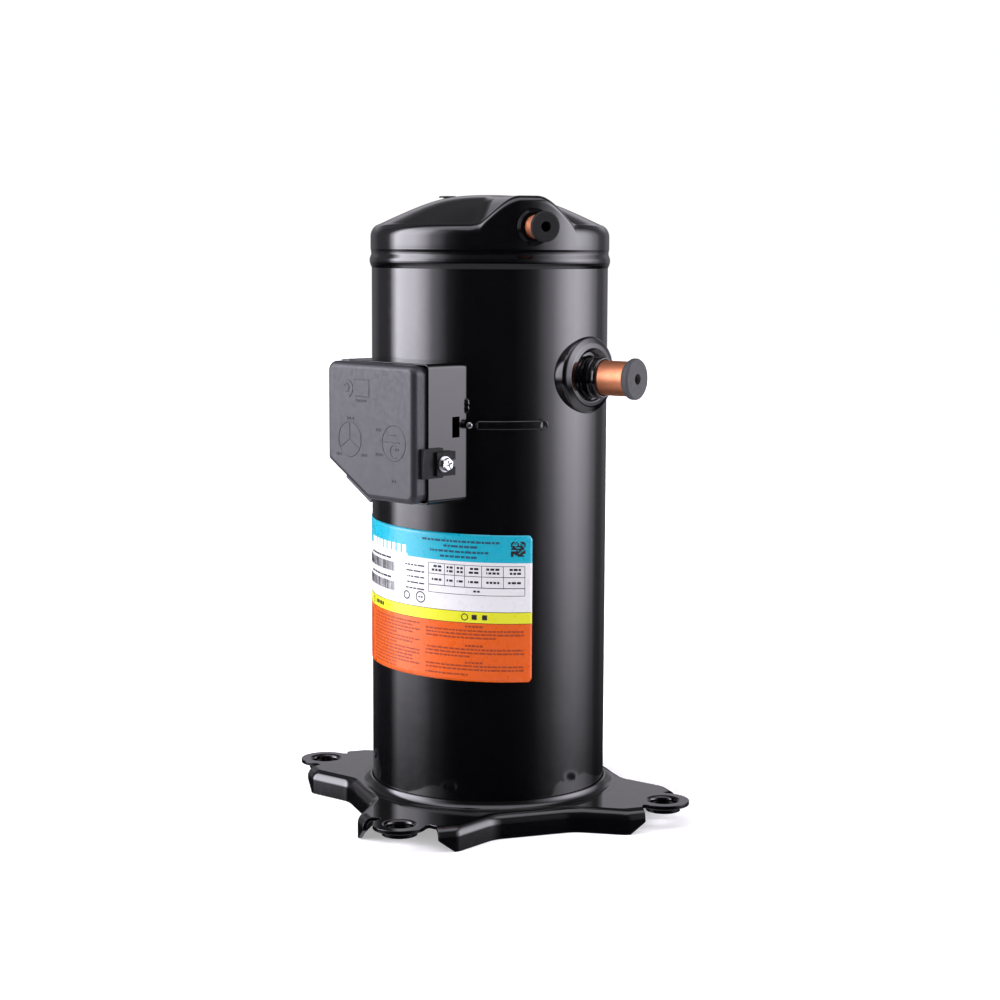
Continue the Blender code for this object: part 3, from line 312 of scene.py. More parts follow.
MATERIALS = {
    "black_paint": black_enamel("black_paint"),
    "cover_plastic": moulded_plastic("cover_plastic", 0.018, 0.3),
    "copper": drawn_copper(),
    "suction_rubber": moulded_rubber("suction_rubber", 0.055),
    "discharge_rubber": moulded_rubber("discharge_rubber", 0.007),
    "pocket_black": black_enamel("pocket_black", 0.004),
    "zinc": metal("zinc", (0.5, 0.51, 0.53), 0.26),
    "label_film": label_film(),
    "cast_iron": metal("cast_iron", (0.24, 0.24, 0.25), 0.5, 600.0, 0.0001),
    "steel": metal("steel", (0.6, 0.6, 0.62), 0.28),
    "electrical_steel": striped("electrical_steel", (0.36, 0.37, 0.41), (0.2, 0.2, 0.23), 0.4, 0.9, 320.0),
    "winding": striped("winding", (0.56, 0.23, 0.09), (0.3, 0.1, 0.035), 0.34, 0.6, 150.0, "DIAGONAL",
                       0.0003, 1.5),
    "aluminium": metal("aluminium", (0.78, 0.79, 0.8), 0.38, 500.0, 0.00006),
    "bronze": metal("bronze", (0.62, 0.42, 0.2), 0.34),
    "insulation": striped("insulation", (0.75, 0.72, 0.62), (0.55, 0.52, 0.43), 0.6, 0.0, 500.0, "DIAGONAL",
                          0.0001, 0.8),
    "terminal_glass": fused_glass(),
}
FENCE_ENAMEL = black_enamel("fence_enamel", gloss=0.32)
COLLAR_ENAMEL = black_enamel("collar_enamel", gloss=0.08)
TAB_PLASTIC = moulded_plastic("tab_plastic", 0.004, 0.1)
INK_DARK = printed("ink_dark", grey(0.012, 1.2))
INK_WHITE = printed("ink_white", (0.66, 0.68, 0.7))
INK_RUST = printed("ink_rust", (0.2, 0.03, 0.008))
INK_NAVY = printed("ink_navy", (0.012, 0.05, 0.09))

# ---- mesh tools

JOIN_WITHIN = 0.000001

STRAIGHT = 177.0
EDGE_SHARE = 0.48


def rounded(points, radius, arcs=4, closed=True):
    """The same outline with its corners turned into arcs. A third value on a point is its own radius."""
    made = []
    count = len(points)
    for index, point in enumerate(points):
        size = point[2] if len(point) > 2 else radius
        here = Vector(point[:2])
        back = Vector(points[index - 1][:2]) - here
        onward = Vector(points[(index + 1) % count][:2]) - here
        at_end = not closed and index in (0, count - 1)
        if at_end or size <= 0.0 or back.angle(onward) > radians(STRAIGHT):
            made.append((here.x, here.y))
            continue
        half = back.angle(onward) / 2.0
        reach = min(size / tan(half), back.length * EDGE_SHARE, onward.length * EDGE_SHARE)
        size = reach * tan(half)
        centre = here + (back.normalized() + onward.normalized()).normalized() * (size / sin(half))
        start = here + back.normalized() * reach - centre
        end = here + onward.normalized() * reach - centre
        turn = atan2(start.x * end.y - start.y * end.x, start.dot(end))
        first = atan2(start.y, start.x)
        for step in range(arcs + 1):
            angle = first + turn * step / arcs
            made.append((centre.x + size * cos(angle), centre.y + size * sin(angle)))
    return made


def metres(*values):
    """Values from millimetres to metres."""
    return tuple(value * MM for value in values)


def mm(points):
    """Points from millimetres to metres, with any corner radii."""
    return [metres(*point) for point in points]


def arc(centre, radius, start, end, count):
    """Points on an arc, with its angles in degrees."""
    angles = [radians(start + (end - start) * i / count) for i in range(count + 1)]
    return [(centre[0] + radius * cos(a), centre[1] + radius * sin(a)) for a in angles]


def spokes(count):
    """Cosine and sine of evenly spaced angles."""
    angles = [2.0 * pi * i / count for i in range(count)]
    return [(cos(a), sin(a)) for a in angles]


def quarter(steps):
    """Sine and 1 - cosine of the steps of a quarter turn, from 0 on."""
    turns = [radians(90.0 * step / steps) for step in range(steps + 1)]
    return [(sin(turn), 1.0 - cos(turn)) for turn in turns]


def placed(name, data):
    """A new object in the scene."""
    obj = bpy.data.objects.new(name, data)
    bpy.context.scene.collection.objects.link(obj)
    return obj


def mesh_from(name, form):
    """A new mesh from a bmesh, which is freed."""
    mesh = bpy.data.meshes.new(name)
    form.to_mesh(mesh)
    form.free()
    return mesh


def taken_from(obj):
    """The mesh that an object's modifiers or curve make; the object goes."""
    bpy.context.view_layer.update()
    made = bpy.data.meshes.new_from_object(obj.evaluated_get(bpy.context.evaluated_depsgraph_get()))
    bpy.data.objects.remove(obj, do_unlink=True)
    return made


def mesh_of(name, vertices, faces):
    """A mesh from points and faces, with its normals made to agree."""
    mesh = bpy.data.meshes.new(name)
    mesh.from_pydata([tuple(vertex) for vertex in vertices], [], faces)
    form = bmesh.new()
    form.from_mesh(mesh)
    bmesh.ops.remove_doubles(form, verts=form.verts, dist=JOIN_WITHIN)
    bmesh.ops.recalc_face_normals(form, faces=form.faces)
    form.to_mesh(mesh)
    form.free()
    return mesh


def turned_mesh(name, profile, steps=128, closed=True):
    """Turn a profile of (radius, height) about Z."""
    vertices, rings = [], []
    for radius, height in profile:
        around = spokes(1 if radius < JOIN_WITHIN else steps)
        rings.append(range(len(vertices), len(vertices) + len(around)))
        vertices += [(radius * x, radius * y, height) for x, y in around]
    pairs = list(zip(rings, rings[1:]))
    if closed:
        pairs.append((rings[-1], rings[0]))
    faces = []
    for low, high in pairs:
        for i in range(steps if len(low) + len(high) > 2 else 0):
            j = (i + 1) % steps
            corners = [low[i % len(low)], low[j % len(low)], high[j % len(high)], high[i % len(high)]]
            face = list(dict.fromkeys(corners))
            if len(face) > 2:
                faces.append(face)
    return mesh_of(name, vertices, faces)


def lofted_mesh(name, rings, capped=True):
    """Skin a stack of closed outlines that have equal numbers of points."""
    size = len(rings[0])
    vertices = [point for ring in rings for point in ring]
    faces = []
    for low in range(0, size * (len(rings) - 1), size):
        for i in range(size):
            j = (i + 1) % size
            faces.append((low + i, low + j, low + size + j, low + size + i))
    if capped:
        faces.append(tuple(reversed(range(size))))
        faces.append(tuple(range(len(vertices) - size, len(vertices))))
    return mesh_of(name, vertices, faces)


def block_mesh(low, high):
    """A box between two corners."""
    form = bmesh.new()
    bmesh.ops.create_cube(form, size=1.0)
    low, high = Vector(low), Vector(high)
    bmesh.ops.scale(form, vec=high - low, verts=form.verts)
    bmesh.ops.translate(form, vec=(low + high) / 2.0, verts=form.verts)
    return mesh_from("block", form)


def cylinder_mesh(radius, low, high, steps=32):
    """A cylinder along Z, for cutting."""
    return turned_mesh("cylinder", [(0.0, high), (radius, high), (radius, low), (0.0, low)], steps, False)


def moved(mesh, matrix):
    """The same mesh, moved."""
    mesh.transform(matrix)
    return mesh


def combine(mesh, others, operation):
    """A mesh joined with, or cut by, other meshes."""
    obj = placed("working", mesh)
    tools = [placed("tool", other) for other in others]
    for tool in tools:
        boolean = obj.modifiers.new("boolean", "BOOLEAN")
        boolean.operation = operation
        boolean.object = tool
    made = taken_from(obj)
    for tool in tools:
        bpy.data.objects.remove(tool, do_unlink=True)
    return made


BEVEL_ANGLE = 38.0
NORMAL_WEIGHT = 60


def piece(name, mesh, node, slot="black_paint", body="housing", matrix=None, bevel=0.0, angle=32.0,
          finish=None):
    """Put a finished mesh in the scene as a piece of the object. Corners sharper than angle stay sharp."""
    if matrix is not None:
        mesh.transform(matrix)
    mesh.shade_smooth()
    mesh.set_sharp_from_angle(angle=radians(angle))
    mesh.materials.clear()
    mesh.materials.append(finish or MATERIALS[slot])
    obj = placed(name, mesh)
    if bevel > 0.0:
        edges = obj.modifiers.new("edges", "BEVEL")
        edges.width = bevel
        edges.segments = 3
        edges.limit_method = "ANGLE"
        edges.angle_limit = radians(BEVEL_ANGLE)
        edges.harden_normals = True
    weights = obj.modifiers.new("normals", "WEIGHTED_NORMAL")
    weights.keep_sharp = True
    weights.weight = NORMAL_WEIGHT
    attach(obj, body)
    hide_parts(node)
    return obj


def turned(name, points, corner, node, slot="black_paint", body="housing", matrix=None, steps=128,
           closed=True, arcs=4, finish=None):
    """A turned piece, from a profile and a corner radius in millimetres."""
    profile = rounded(mm(points), corner * MM, arcs, closed)
    piece(name, turned_mesh(name, profile, steps, closed), node, slot, body, matrix, finish=finish)


# ---- base plate

PLATE_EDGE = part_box("base_plate")[1].x
FOOT_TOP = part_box("base_plate")[1].z
PLATE_TOP = FOOT_TOP - 5.0 * MM
PLATE_THICKNESS = 2.8 * MM
PLATE_UNDER = PLATE_TOP - PLATE_THICKNESS
BOLT_HOLE = 9.5 * MM
BOLT_REACH = 95.25 * MM
EAR_RADIUS = 18.0 * MM
EAR_NOTCH = 77.0 * MM
EAR_DEPTH = 103.0 * MM
WAIST_OFFSET = 96.0 * MM
WAIST_HALF = 29.0 * MM
EAR_START = 60.0 * MM
FLANGE_END = 74.0 * MM
FLANGE_CHAMFER = 11.0 * MM
BEND_RADIUS = 7.0 * MM
WAIST_BLEND = 22.0 * MM
EAR_BLEND = 10.0 * MM
COLLAR_DEPTH = 4.4 * MM
LIP_RADIUS = 2.7 * MM
BELOW_FLOOR = -5.0 * MM
SKIRT_GAP = 0.35 * MM
SKIRT_WALL = 1.5 * MM
SKIRT_DEPTH = 3.4 * MM
SKIRT_REACH = 7.4 * MM


def side_path():
    """One side's flange line in plan, as (along, offset), from end to end."""
    corners = [(-FLANGE_END, PLATE_EDGE), (-EAR_START, PLATE_EDGE, EAR_BLEND), (-WAIST_HALF, WAIST_OFFSET),
               (WAIST_HALF, WAIST_OFFSET), (EAR_START, PLATE_EDGE, EAR_BLEND), (FLANGE_END, PLATE_EDGE)]
    return rounded(corners, WAIST_BLEND, 8, False)


def flange_column(along, offset, chamfer):
    """One flange section from the start of its bend down to the floor."""
    column = [(along, offset - BEND_RADIUS + BEND_RADIUS * out, PLATE_TOP - BEND_RADIUS * down)
              for out, down in quarter(8)]
    column.append((along, offset, 8.0 * MM if chamfer else 1.0 * MM))
    column.append((along - chamfer, offset, 0.0))
    return column


def plate_sheet():
    """The stamped sheet before its holes: ears with notches beside them, and four flanges bent down."""
    form = bmesh.new()
    outline = []
    path = side_path()
    tip = arc((BOLT_REACH, BOLT_REACH), EAR_RADIUS, -60.0, 150.0, 36)
    ear = [(EAR_DEPTH, EAR_NOTCH)] + tip + [(EAR_NOTCH, EAR_DEPTH)]
    for side in range(4):
        spin = Matrix.Rotation(radians(90.0 * side), 4, "Z")
        outline += [form.verts.new(spin @ Vector((x, y, PLATE_TOP))) for x, y in ear]
        columns = []
        for index, (along, offset) in enumerate(path):
            chamfer = 0.0
            if index in (0, len(path) - 1):
                chamfer = FLANGE_CHAMFER if along > 0.0 else -FLANGE_CHAMFER
            section = flange_column(along, offset, chamfer)
            columns.append([form.verts.new(spin @ Vector((-s, o, z))) for s, o, z in section])
        for left, right in zip(columns, columns[1:]):
            for row in range(len(left) - 1):
                form.faces.new((left[row], left[row + 1], right[row + 1], right[row]))
        outline += [column[0] for column in columns]
    form.faces.new(outline)
    bmesh.ops.recalc_face_normals(form, faces=form.faces)
    obj = placed("plate_sheet", mesh_from("plate_sheet", form))
    sheet = obj.modifiers.new("sheet", "SOLIDIFY")
    sheet.thickness = PLATE_THICKNESS
    sheet.offset = -1.0
    sheet.use_even_offset = True
    return taken_from(obj)


def base_plate():
    """Stamped base: ears with collared holes, flanges, and the skirt turned up round the shell's foot."""
    outer = BOLT_HOLE + PLATE_THICKNESS - 0.4 * MM
    collar = [(0.0, PLATE_TOP - 1.0 * MM), (outer, PLATE_TOP - 1.0 * MM)]
    collar += [(outer + 1.6 * MM, PLATE_UNDER + 0.2 * MM), (outer, PLATE_UNDER - 1.6 * MM)]
    collar += [(outer, PLATE_UNDER - COLLAR_DEPTH), (0.0, PLATE_UNDER - COLLAR_DEPTH)]
    hole = [(0.0, PLATE_TOP + 9.0 * MM), (BOLT_HOLE + LIP_RADIUS, PLATE_TOP + 9.0 * MM)]
    hole += arc((BOLT_HOLE + LIP_RADIUS, PLATE_TOP - LIP_RADIUS), LIP_RADIUS, 90.0, 180.0, 6)
    hole += [(BOLT_HOLE, BELOW_FLOOR), (0.0, BELOW_FLOOR)]
    places = [shifted(x * BOLT_REACH, y * BOLT_REACH) for x in (-1, 1) for y in (-1, 1)]
    collars = [moved(turned_mesh("collar", collar, 64, False), place) for place in places]
    holes = [moved(turned_mesh("hole", hole, 64, False), place) for place in places]
    holes.append(cylinder_mesh(SHELL_RADIUS + 0.9 * MM, BELOW_FLOOR, 40.0 * MM, 160))
    mesh = combine(combine(plate_sheet(), collars, "UNION"), holes, "DIFFERENCE")
    piece("base_plate_sheet", mesh, "base_plate", bevel=0.35 * MM)
    inner = SHELL_RADIUS + SKIRT_GAP
    rim = inner + SKIRT_WALL
    sweep = arc((rim + 6.8 * MM, FOOT_TOP + 1.2 * MM), 6.6 * MM, 188.0, 263.0, 10)
    skirt = [(inner, PLATE_TOP - SKIRT_DEPTH), (inner, FOOT_TOP - 0.5 * MM)]
    skirt += [(inner + 0.5 * MM, FOOT_TOP), (rim - 0.4 * MM, FOOT_TOP)]
    skirt += [(r, min(z, FOOT_TOP - 0.2 * MM)) for r, z in sweep]
    skirt += [(rim + SKIRT_REACH, PLATE_TOP + 0.04 * MM), (rim + SKIRT_REACH, PLATE_TOP - 1.0 * MM)]
    skirt += [(rim + 2.0 * MM, PLATE_TOP - SKIRT_DEPTH)]
    piece("base_plate_skirt", turned_mesh("base_plate_skirt", skirt, 192), "base_plate")


# ---- shell

SEAM_ANGLE = 96.0
RIPPLE, RIPPLE_TURN, RIPPLE_CHANCE = 0.12, 1.9, 0.05


def weld_bead(name, low, high, count, normal, width, height, node="shell_tube", seed=1):
    """A bead of overlapping ripples on a straight run from low to high, raised along a normal."""
    draw = random.Random(seed)
    side = normal.cross(high - low).normalized()
    rings = []
    for index in range(count + 1):
        point = low + (high - low) * index / count
        taper = min(1.0, sqrt(min(index, count - index) / 2.0))
        chance = draw.uniform(-RIPPLE_CHANCE, RIPPLE_CHANCE)
        size = taper * (1.0 + RIPPLE * sin(index * RIPPLE_TURN) + chance)
        rings.append([point + side * (x * width / 2.0 * size) + normal * (y * height * size)
                      for x, y in spokes(12)])
    piece(name, lofted_mesh(name, rings), node, angle=50.0)


def shell():
    """Rolled tube with its long seam, and the pressed bottom."""
    outer, inner = SHELL_RADIUS / MM, (SHELL_RADIUS - SHELL_WALL) / MM
    top, foot = SHELL_TOP / MM, SHELL_BOTTOM / MM
    wall = [(inner, top), (outer, top), (outer, foot), (inner, foot)]
    turned("shell_tube_skin", wall, 0.5, "shell_tube", steps=256, arcs=3)
    outward = direction(SEAM_ANGLE)
    low, high = (outward * SHELL_RADIUS + UP * z for z in (FOOT_TOP + 3.0 * MM, SHELL_TOP - 3.0 * MM))
    weld_bead("shell_seam", low, high, 150, outward, 4.6 * MM, 0.45 * MM)
    outside = [(0, 4), (40, 4), (62, 5), (72, 8), (77, 13), (79, 20), (79, 32)]
    inside = [(75.8, 32), (75.8, 21), (74, 15), (70, 11.5), (61, 8.2), (40, 7.2), (0, 7.2)]
    turned("shell_bottom", outside + inside, 12.0, "lower_shell_cap", closed=False, arcs=6)


def separator_rim():
    """The separator plate's edge: a shallow groove below the cap's wall, then a smooth bead."""
    top, bottom = 397.0, 380.4
    inner = SHELL_RADIUS / MM - 2.0
    profile = [(inner, top), (82.9, top, 0.2), (83.32, 395.2, 2.0), (82.95, 393.2, 2.0), (82.8, 391.6, 2.0),
               (83.85, 388.7, 2.5), (84.0, 387.2, 3.0), (83.85, 385.8, 4.0), (83.3, 383.9, 5.0),
               (82.45, 382.0, 1.0), (82.4, bottom, 0.2), (inner, bottom)]
    turned("separator_rim", profile, 0.2, "separator_plate", steps=256)


# ---- top cap

DOME_SLOPE = 0.42
DOME_BEND_AT = 33.0 * MM
DOME_BEND = 9.0 * MM
DOME_CROWN = 3.0
DOME_EDGE = 6.0 * MM
RIDGE_TOP = CAP_TOP - 1.9 * MM
RIDGE_FLAT = 6.0 * MM
RIDGE_FOOT = 48.0 * MM
RIDGE_DEPTH = 26.5 * MM
RIDGE_EDGE = 5.5 * MM
RIDGE_FROM = 18.0 * MM
RIDGE_BLEND = 4.0 * MM
RIDGE_BLEND_FROM = 20.0 * MM
RIDGE_BLEND_OVER = 22.0 * MM
SHOULDER_FALL = 0.45
CAP_WALL_RAISED = 1.6 * MM


def clamp(value, low=0.0, high=1.0):
    """The value, kept from low to high."""
    return max(low, min(high, value))


def eased(value):
    """Smooth step from 0 to 1."""
    value = clamp(value)
    return value * value * (3.0 - 2.0 * value)


def dome_drop(radius):
    """How far an even slope with a soft start has come down."""
    return DOME_SLOPE * DOME_BEND * log(1.0 + exp((radius - DOME_BEND_AT) / DOME_BEND))


def cap_height(x, y):
    """Height of the cap's top surface and how much the ridge over the discharge stub makes of it. The dome is
    nearly flat in the middle, the ridge's section is a bell, and a fillet joins them."""
    radius = hypot(x, y)
    dome = CAP_TOP - (dome_drop(radius) - dome_drop(0.0)) - radius * radius / DOME_CROWN
    if y >= -RIDGE_FROM:
        return dome, 0.0
    ridge = RIDGE_TOP - RIDGE_DEPTH * eased((abs(x) - RIDGE_FLAT) / (RIDGE_FOOT - RIDGE_FLAT))
    reach = 0.3 * MM + RIDGE_BLEND * clamp((-y - RIDGE_BLEND_FROM) / RIDGE_BLEND_OVER)
    share = clamp(0.5 + 0.5 * (ridge - dome) / reach)
    height = dome + (ridge - dome) * share + reach * share * (1.0 - share)
    return height, eased((ridge - dome) / (4.0 * MM))


def cap_column(x, y, radial=64):
    """The cap's section from its middle out to level direction (x, y) and down, as (radius, height)."""
    ridge = cap_height((CAP_RADIUS - RIDGE_EDGE) * x, (CAP_RADIUS - RIDGE_EDGE) * y)[1]
    edge = DOME_EDGE + (RIDGE_EDGE - DOME_EDGE) * ridge
    flat_end = CAP_RADIUS - edge
    radii = [flat_end * i / radial for i in range(1, radial + 1)]
    column = [(r, cap_height(r * x, r * y)[0]) for r in radii]
    top = column[-1][1]
    fall = DOME_SLOPE * edge * SHOULDER_FALL * (1.0 - ridge)
    column += [(flat_end + edge * out, top - (edge + fall) * down - fall * out)
               for out, down in quarter(7)[1:]]
    wall_end = CAP_BOTTOM + CAP_WALL_RAISED
    return column + [(CAP_RADIUS, wall_end + 1.0 * MM), (CAP_RADIUS - 0.5 * MM, wall_end),
                     (CAP_RADIUS - 3.2 * MM, wall_end)]


def top_cap():
    """Drawn cap: dome, ridge with an upright face, rounded shoulder and straight wall."""
    around = spokes(360)
    rows = [[(r * x, r * y, z) for r, z in cap_column(x, y)] for x, y in around]
    size = len(rows[0])
    vertices = [(0.0, 0.0, cap_height(0.0, 0.0)[0])] + [point for row in rows for point in row]
    faces = []
    for k in range(len(rows)):
        here, ahead = 1 + k * size, 1 + ((k + 1) % len(rows)) * size
        faces.append((0, here, ahead))
        for i in range(size - 1):
            faces.append((here + i, here + i + 1, ahead + i + 1, ahead + i))
    piece("top_cap_skin", mesh_of("top_cap_skin", vertices, faces), "top_cap", angle=50.0)


def sensor_pocket():
    """Thin round head of the sensor pocket in the dome."""
    low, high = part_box("sensor_pocket")
    centre = (low + high) / 2.0
    head, top = (high.x - low.x) / 2.0 / MM, high.z / MM
    profile = [(0.0, top), (head - 0.6, top), (head, top - 0.6), (head, top - 1.2), (3.0, top - 1.2),
               (3.0, low.z / MM), (0.0, low.z / MM)]
    turned("sensor_pocket_head", profile, 0.3, "sensor_pocket", "pocket_black",
           matrix=shifted(centre.x, centre.y), steps=64, closed=False, arcs=3)


# ---- ports

STUB_WALL = 1.2


def stub(name, node, top, bottom, place):
    """A copper tube with slightly rounded ends."""
    pipe = half_height(node) / MM
    bore = pipe - STUB_WALL
    wall = [(bore, top), (pipe, top), (pipe, bottom), (bore, bottom)]
    turned(name, wall, 0.3, node, "copper", matrix=place, arcs=3)


def suction_port():
    """Dished oval pad, fitting, copper stub and rubber plug of the suction side."""
    oval = SUCTION @ shifted(0.0, 1.5 * MM) @ Matrix.Diagonal((1.2, 1.0, 1.0, 1.0))
    pad = [(15.6, 84.0, 0.4), (17.0, 84.6, 0.5), (18.2, 86.0, 0.9), (21.5, 85.6, 4.0), (26.4, 83.2, 3.2),
           (26.7, 76.0, 0.5), (26.7, 72, 0), (15.6, 72, 0)]
    turned("suction_pad_ring", pad, 0.4, "suction_pad", matrix=oval, steps=160, arcs=7)
    floor = [(13.0, 81.2), (14.6, 81.4, 0.6), (15.8, 82.4, 0.6), (15.8, 78), (13.0, 78)]
    turned("suction_pad_weld", floor, 0.3, "suction_pad", matrix=oval, arcs=3)
    fitting = [(12.35, 95.5), (13.5, 95.5, 0.5), (14.2, 94.6, 0.5), (14.2, 91.8, 0.3), (13.7, 91.2, 0.3),
               (13.7, 90.2, 0.3), (14.2, 89.6, 0.3), (14.2, 86.4, 0.3), (13.6, 85.4, 0.6), (14.6, 83.0, 1.2),
               (15.6, 81.6, 0.6), (15.6, 74), (12.35, 74)]
    turned("suction_fitting_ring", fitting, 0.3, "suction_fitting", matrix=SUCTION)
    stub("suction_stub_tube", "suction_stub", 115.4, 75.0, SUCTION)
    plug = [(3.6, 121.5), (13.0, 121.5, 0.9), (14.0, 120.5, 0.9), (14.0, 118.0, 0.8), (12.9, 115.9, 0.4),
            (10.7, 115.9), (10.3, 101.9), (3.6, 101.9)]
    turned("suction_plug_body", plug, 0.25, "suction_plug", "suction_rubber", "suction_plug", SUCTION)


def discharge_port():
    """Collar, copper stub and rubber plug of the discharge side."""
    collar = [(8.3, 87.4), (10.4, 87.4), (12.2, 85.2), (12.6, 82.4), (12.6, 79), (8.3, 79)]
    turned("discharge_collar_ring", collar, 0.8, "discharge_collar", matrix=DISCHARGE,
           finish=COLLAR_ENAMEL)
    stub("discharge_stub_tube", "discharge_stub", 100.6, 76.0, DISCHARGE)
    plug = [(3.4, 105.2), (9.2, 105.2, 0.8), (10.1, 104.3, 0.7), (10.1, 102.9, 0.6), (8.9, 101.1, 0.3),
            (6.5, 101.1), (6.2, 89.0), (3.4, 89.0)]
    turned("discharge_plug_body", plug, 0.25, "discharge_plug", "discharge_rubber", "discharge_plug",
           DISCHARGE)


# ---- terminal box


def box_ring(grow, depth, corner=BOX_CORNER):
    """The box's outline at a depth, grown or shrunk evenly: three round corners and one long chamfer."""
    corner = max(corner + grow, 0.4 * MM)
    left, right = BOX_LEFT - grow, BOX_RIGHT + grow
    low, high = BOX_BOTTOM - grow, BOX_TOP + grow
    extra = grow * (BOX_CHAMFER_WIDTH + BOX_CHAMFER_HEIGHT - hypot(BOX_CHAMFER_WIDTH, BOX_CHAMFER_HEIGHT))
    points = [(right, high), (left, high)]
    points.append((left, low + BOX_CHAMFER_HEIGHT + extra / BOX_CHAMFER_WIDTH, corner * 0.5))
    points.append((left + BOX_CHAMFER_WIDTH + extra / BOX_CHAMFER_HEIGHT, low, corner * 0.5))
    points.append((right, low))
    return [(x, y, depth) for x, y in rounded(points, corner, 8)]


def box_block(x, y, z):
    """A box in the terminal box's frame, from its limits along each axis in metres."""
    return block_mesh(*zip(x, y, z))


SLOT_HEIGHTS, SLOT_DEPTHS = metres(271.0, 284.6), metres(72.6, 79.0)
SCREW_HOLE = 2.3 * MM


def terminal_fence():
    """Steel wall round the terminals, with a lip along its chamfer, a slot and a screw hole."""
    outer, inner, front, edge = FENCE_GROW, FENCE_GROW - FENCE_WALL, FENCE_FRONT, 0.4 * MM
    section = [(outer, FENCE_BACK), (outer, front - edge), (outer - edge, front), (inner + edge, front),
               (inner, front - edge), (inner, FENCE_BACK)]
    rings = [box_ring(grow, depth, FENCE_CORNER) for grow, depth in section]
    mesh = lofted_mesh("terminal_fence", rings + [rings[0]], False)
    near, far = BOX_RIGHT - 8.1 * MM, BOX_RIGHT + 8.0 * MM
    slot = box_block((near, far), SLOT_HEIGHTS, SLOT_DEPTHS)
    hole = moved(cylinder_mesh(SCREW_HOLE, near, far), ACROSS_SCREW)
    piece("terminal_fence_wall", combine(mesh, [slot, hole], "DIFFERENCE"), "terminal_fence",
          matrix=BOX, bevel=0.25 * MM, finish=FENCE_ENAMEL)
    corners = rounded(mm([(-36.9, 239.2, 1.0), (-10.4, 223.6, 1.0), (-5.3, 231.5), (-32.3, 247.2)]), 0.3 * MM)
    lip = lofted_mesh("lip", [[(x, y, depth) for x, y in corners] for depth in (front - FENCE_WALL, front)])
    piece("terminal_fence_lip", lip, "terminal_fence", matrix=BOX, bevel=0.3 * MM,
          finish=MATERIALS["cover_plastic"])
    near_side, far_side = BOX_RIGHT + FENCE_GROW, BOX_LEFT - FENCE_GROW
    welds = ((near_side, 286.0, 297.0), (far_side, 262.0, 274.0), (far_side, 290.0, 301.0))
    for number, (side, low, high) in enumerate(welds, 1):
        depth = sqrt(SHELL_RADIUS ** 2 - side ** 2)
        outward = (BOX.to_3x3() @ Vector((1.0 if side > 0 else -1.0, 0.0, 1.0))).normalized()
        start, end = (BOX @ Vector((side, height * MM, depth)) for height in (low, high))
        weld_bead(f"fence_weld_{number}", start, end, 12, outward, 4.4 * MM, 1.5 * MM, "terminal_fence",
                  10 + number)


COVER_RIM = 4.2 * MM
TAB_LOW, TAB_HIGH = 245.2 * MM, 265.0 * MM
TAB_FRONT = 107.0 * MM
BOSS_HEIGHTS, BOSS_DEPTHS = metres(246.6, 262.6), metres(80.0, 96.4)
FORK_HALF = 2.4 * MM


def cover_part(name, mesh, bevel=0.0, matrix=BOX, angle=32.0, finish=None):
    """A piece of the moulded cover."""
    piece(name, mesh, "terminal_cover", "cover_plastic", "terminal_cover", matrix, bevel, angle, finish)


def terminal_cover():
    """Moulded cover: rounded tray with an inner lip, a tab with a forked boss, and raised diagrams."""
    inside = mm([(-3.2, 110.6), (-3.2, 96.8), (-2.9, 96.5), (-1.6, 96.5), (-1.3, 96.8)])
    skirt = [(-1.3 * MM, BOX_SKIRT), (-0.4 * MM, BOX_SKIRT), (0.0, BOX_SKIRT + 0.4 * MM)]
    face = [(-COVER_RIM * inward, BOX_FRONT - COVER_RIM + COVER_RIM * up) for up, inward in quarter(9)]
    rings = [box_ring(grow, depth) for grow, depth in inside + skirt + face]
    cover_part("terminal_cover_tray", lofted_mesh("terminal_cover", rings))
    tab = box_block((TAB_INNER, TAB_OUTER), (TAB_LOW, TAB_HIGH), (89.0 * MM, TAB_FRONT))
    arm = box_block((BOX_RIGHT - 3.0 * MM, TAB_OUTER), (TAB_LOW, TAB_HIGH), (BOX_SKIRT, TAB_FRONT))
    cover_part("terminal_cover_tab", combine(tab, [arm], "UNION"), 0.7 * MM, finish=TAB_PLASTIC)
    boss = box_block((TAB_INNER, BOSS_OUTER), BOSS_HEIGHTS, BOSS_DEPTHS)
    near, far = TAB_INNER - 5.0 * MM, TAB_INNER + 10.0 * MM
    fork = box_block((near, far), (SCREW_Z - FORK_HALF, SCREW_Z + FORK_HALF), (75.0 * MM, SCREW_DEPTH))
    end = moved(cylinder_mesh(FORK_HALF, near, far), ACROSS_SCREW)
    cover_part("terminal_cover_boss", combine(boss, [fork, end], "DIFFERENCE"), 1.0 * MM, finish=TAB_PLASTIC)
    cover_diagrams()


STROKE_WIDTH = 0.7 * MM
STROKE_HEIGHT = 0.28 * MM


def stroke_mesh(points):
    """A raised line with a rounded back, through points in millimetres."""
    curve = bpy.data.curves.new("stroke", "CURVE")
    curve.dimensions = "3D"
    curve.bevel_depth = STROKE_WIDTH / 2.0
    curve.bevel_resolution = 2
    curve.use_fill_caps = True
    spline = curve.splines.new("POLY")
    spline.points.add(len(points) - 1)
    for knot, (x, y) in zip(spline.points, points):
        knot.co = (x * MM, y * MM, 0.0, 1.0)
    flatter = Matrix.Diagonal((1.0, 1.0, 2.0 * STROKE_HEIGHT / STROKE_WIDTH, 1.0))
    return moved(taken_from(placed("stroke", curve)), flatter)


def dashes(x, y, count):
    """A short row of small upright marks about a centre."""
    pitch, half = 1.6, 0.9
    start = x - pitch * (count - 1) / 2.0
    return [[(start + pitch * i, y - half), (start + pitch * i, y + half)] for i in range(count)]


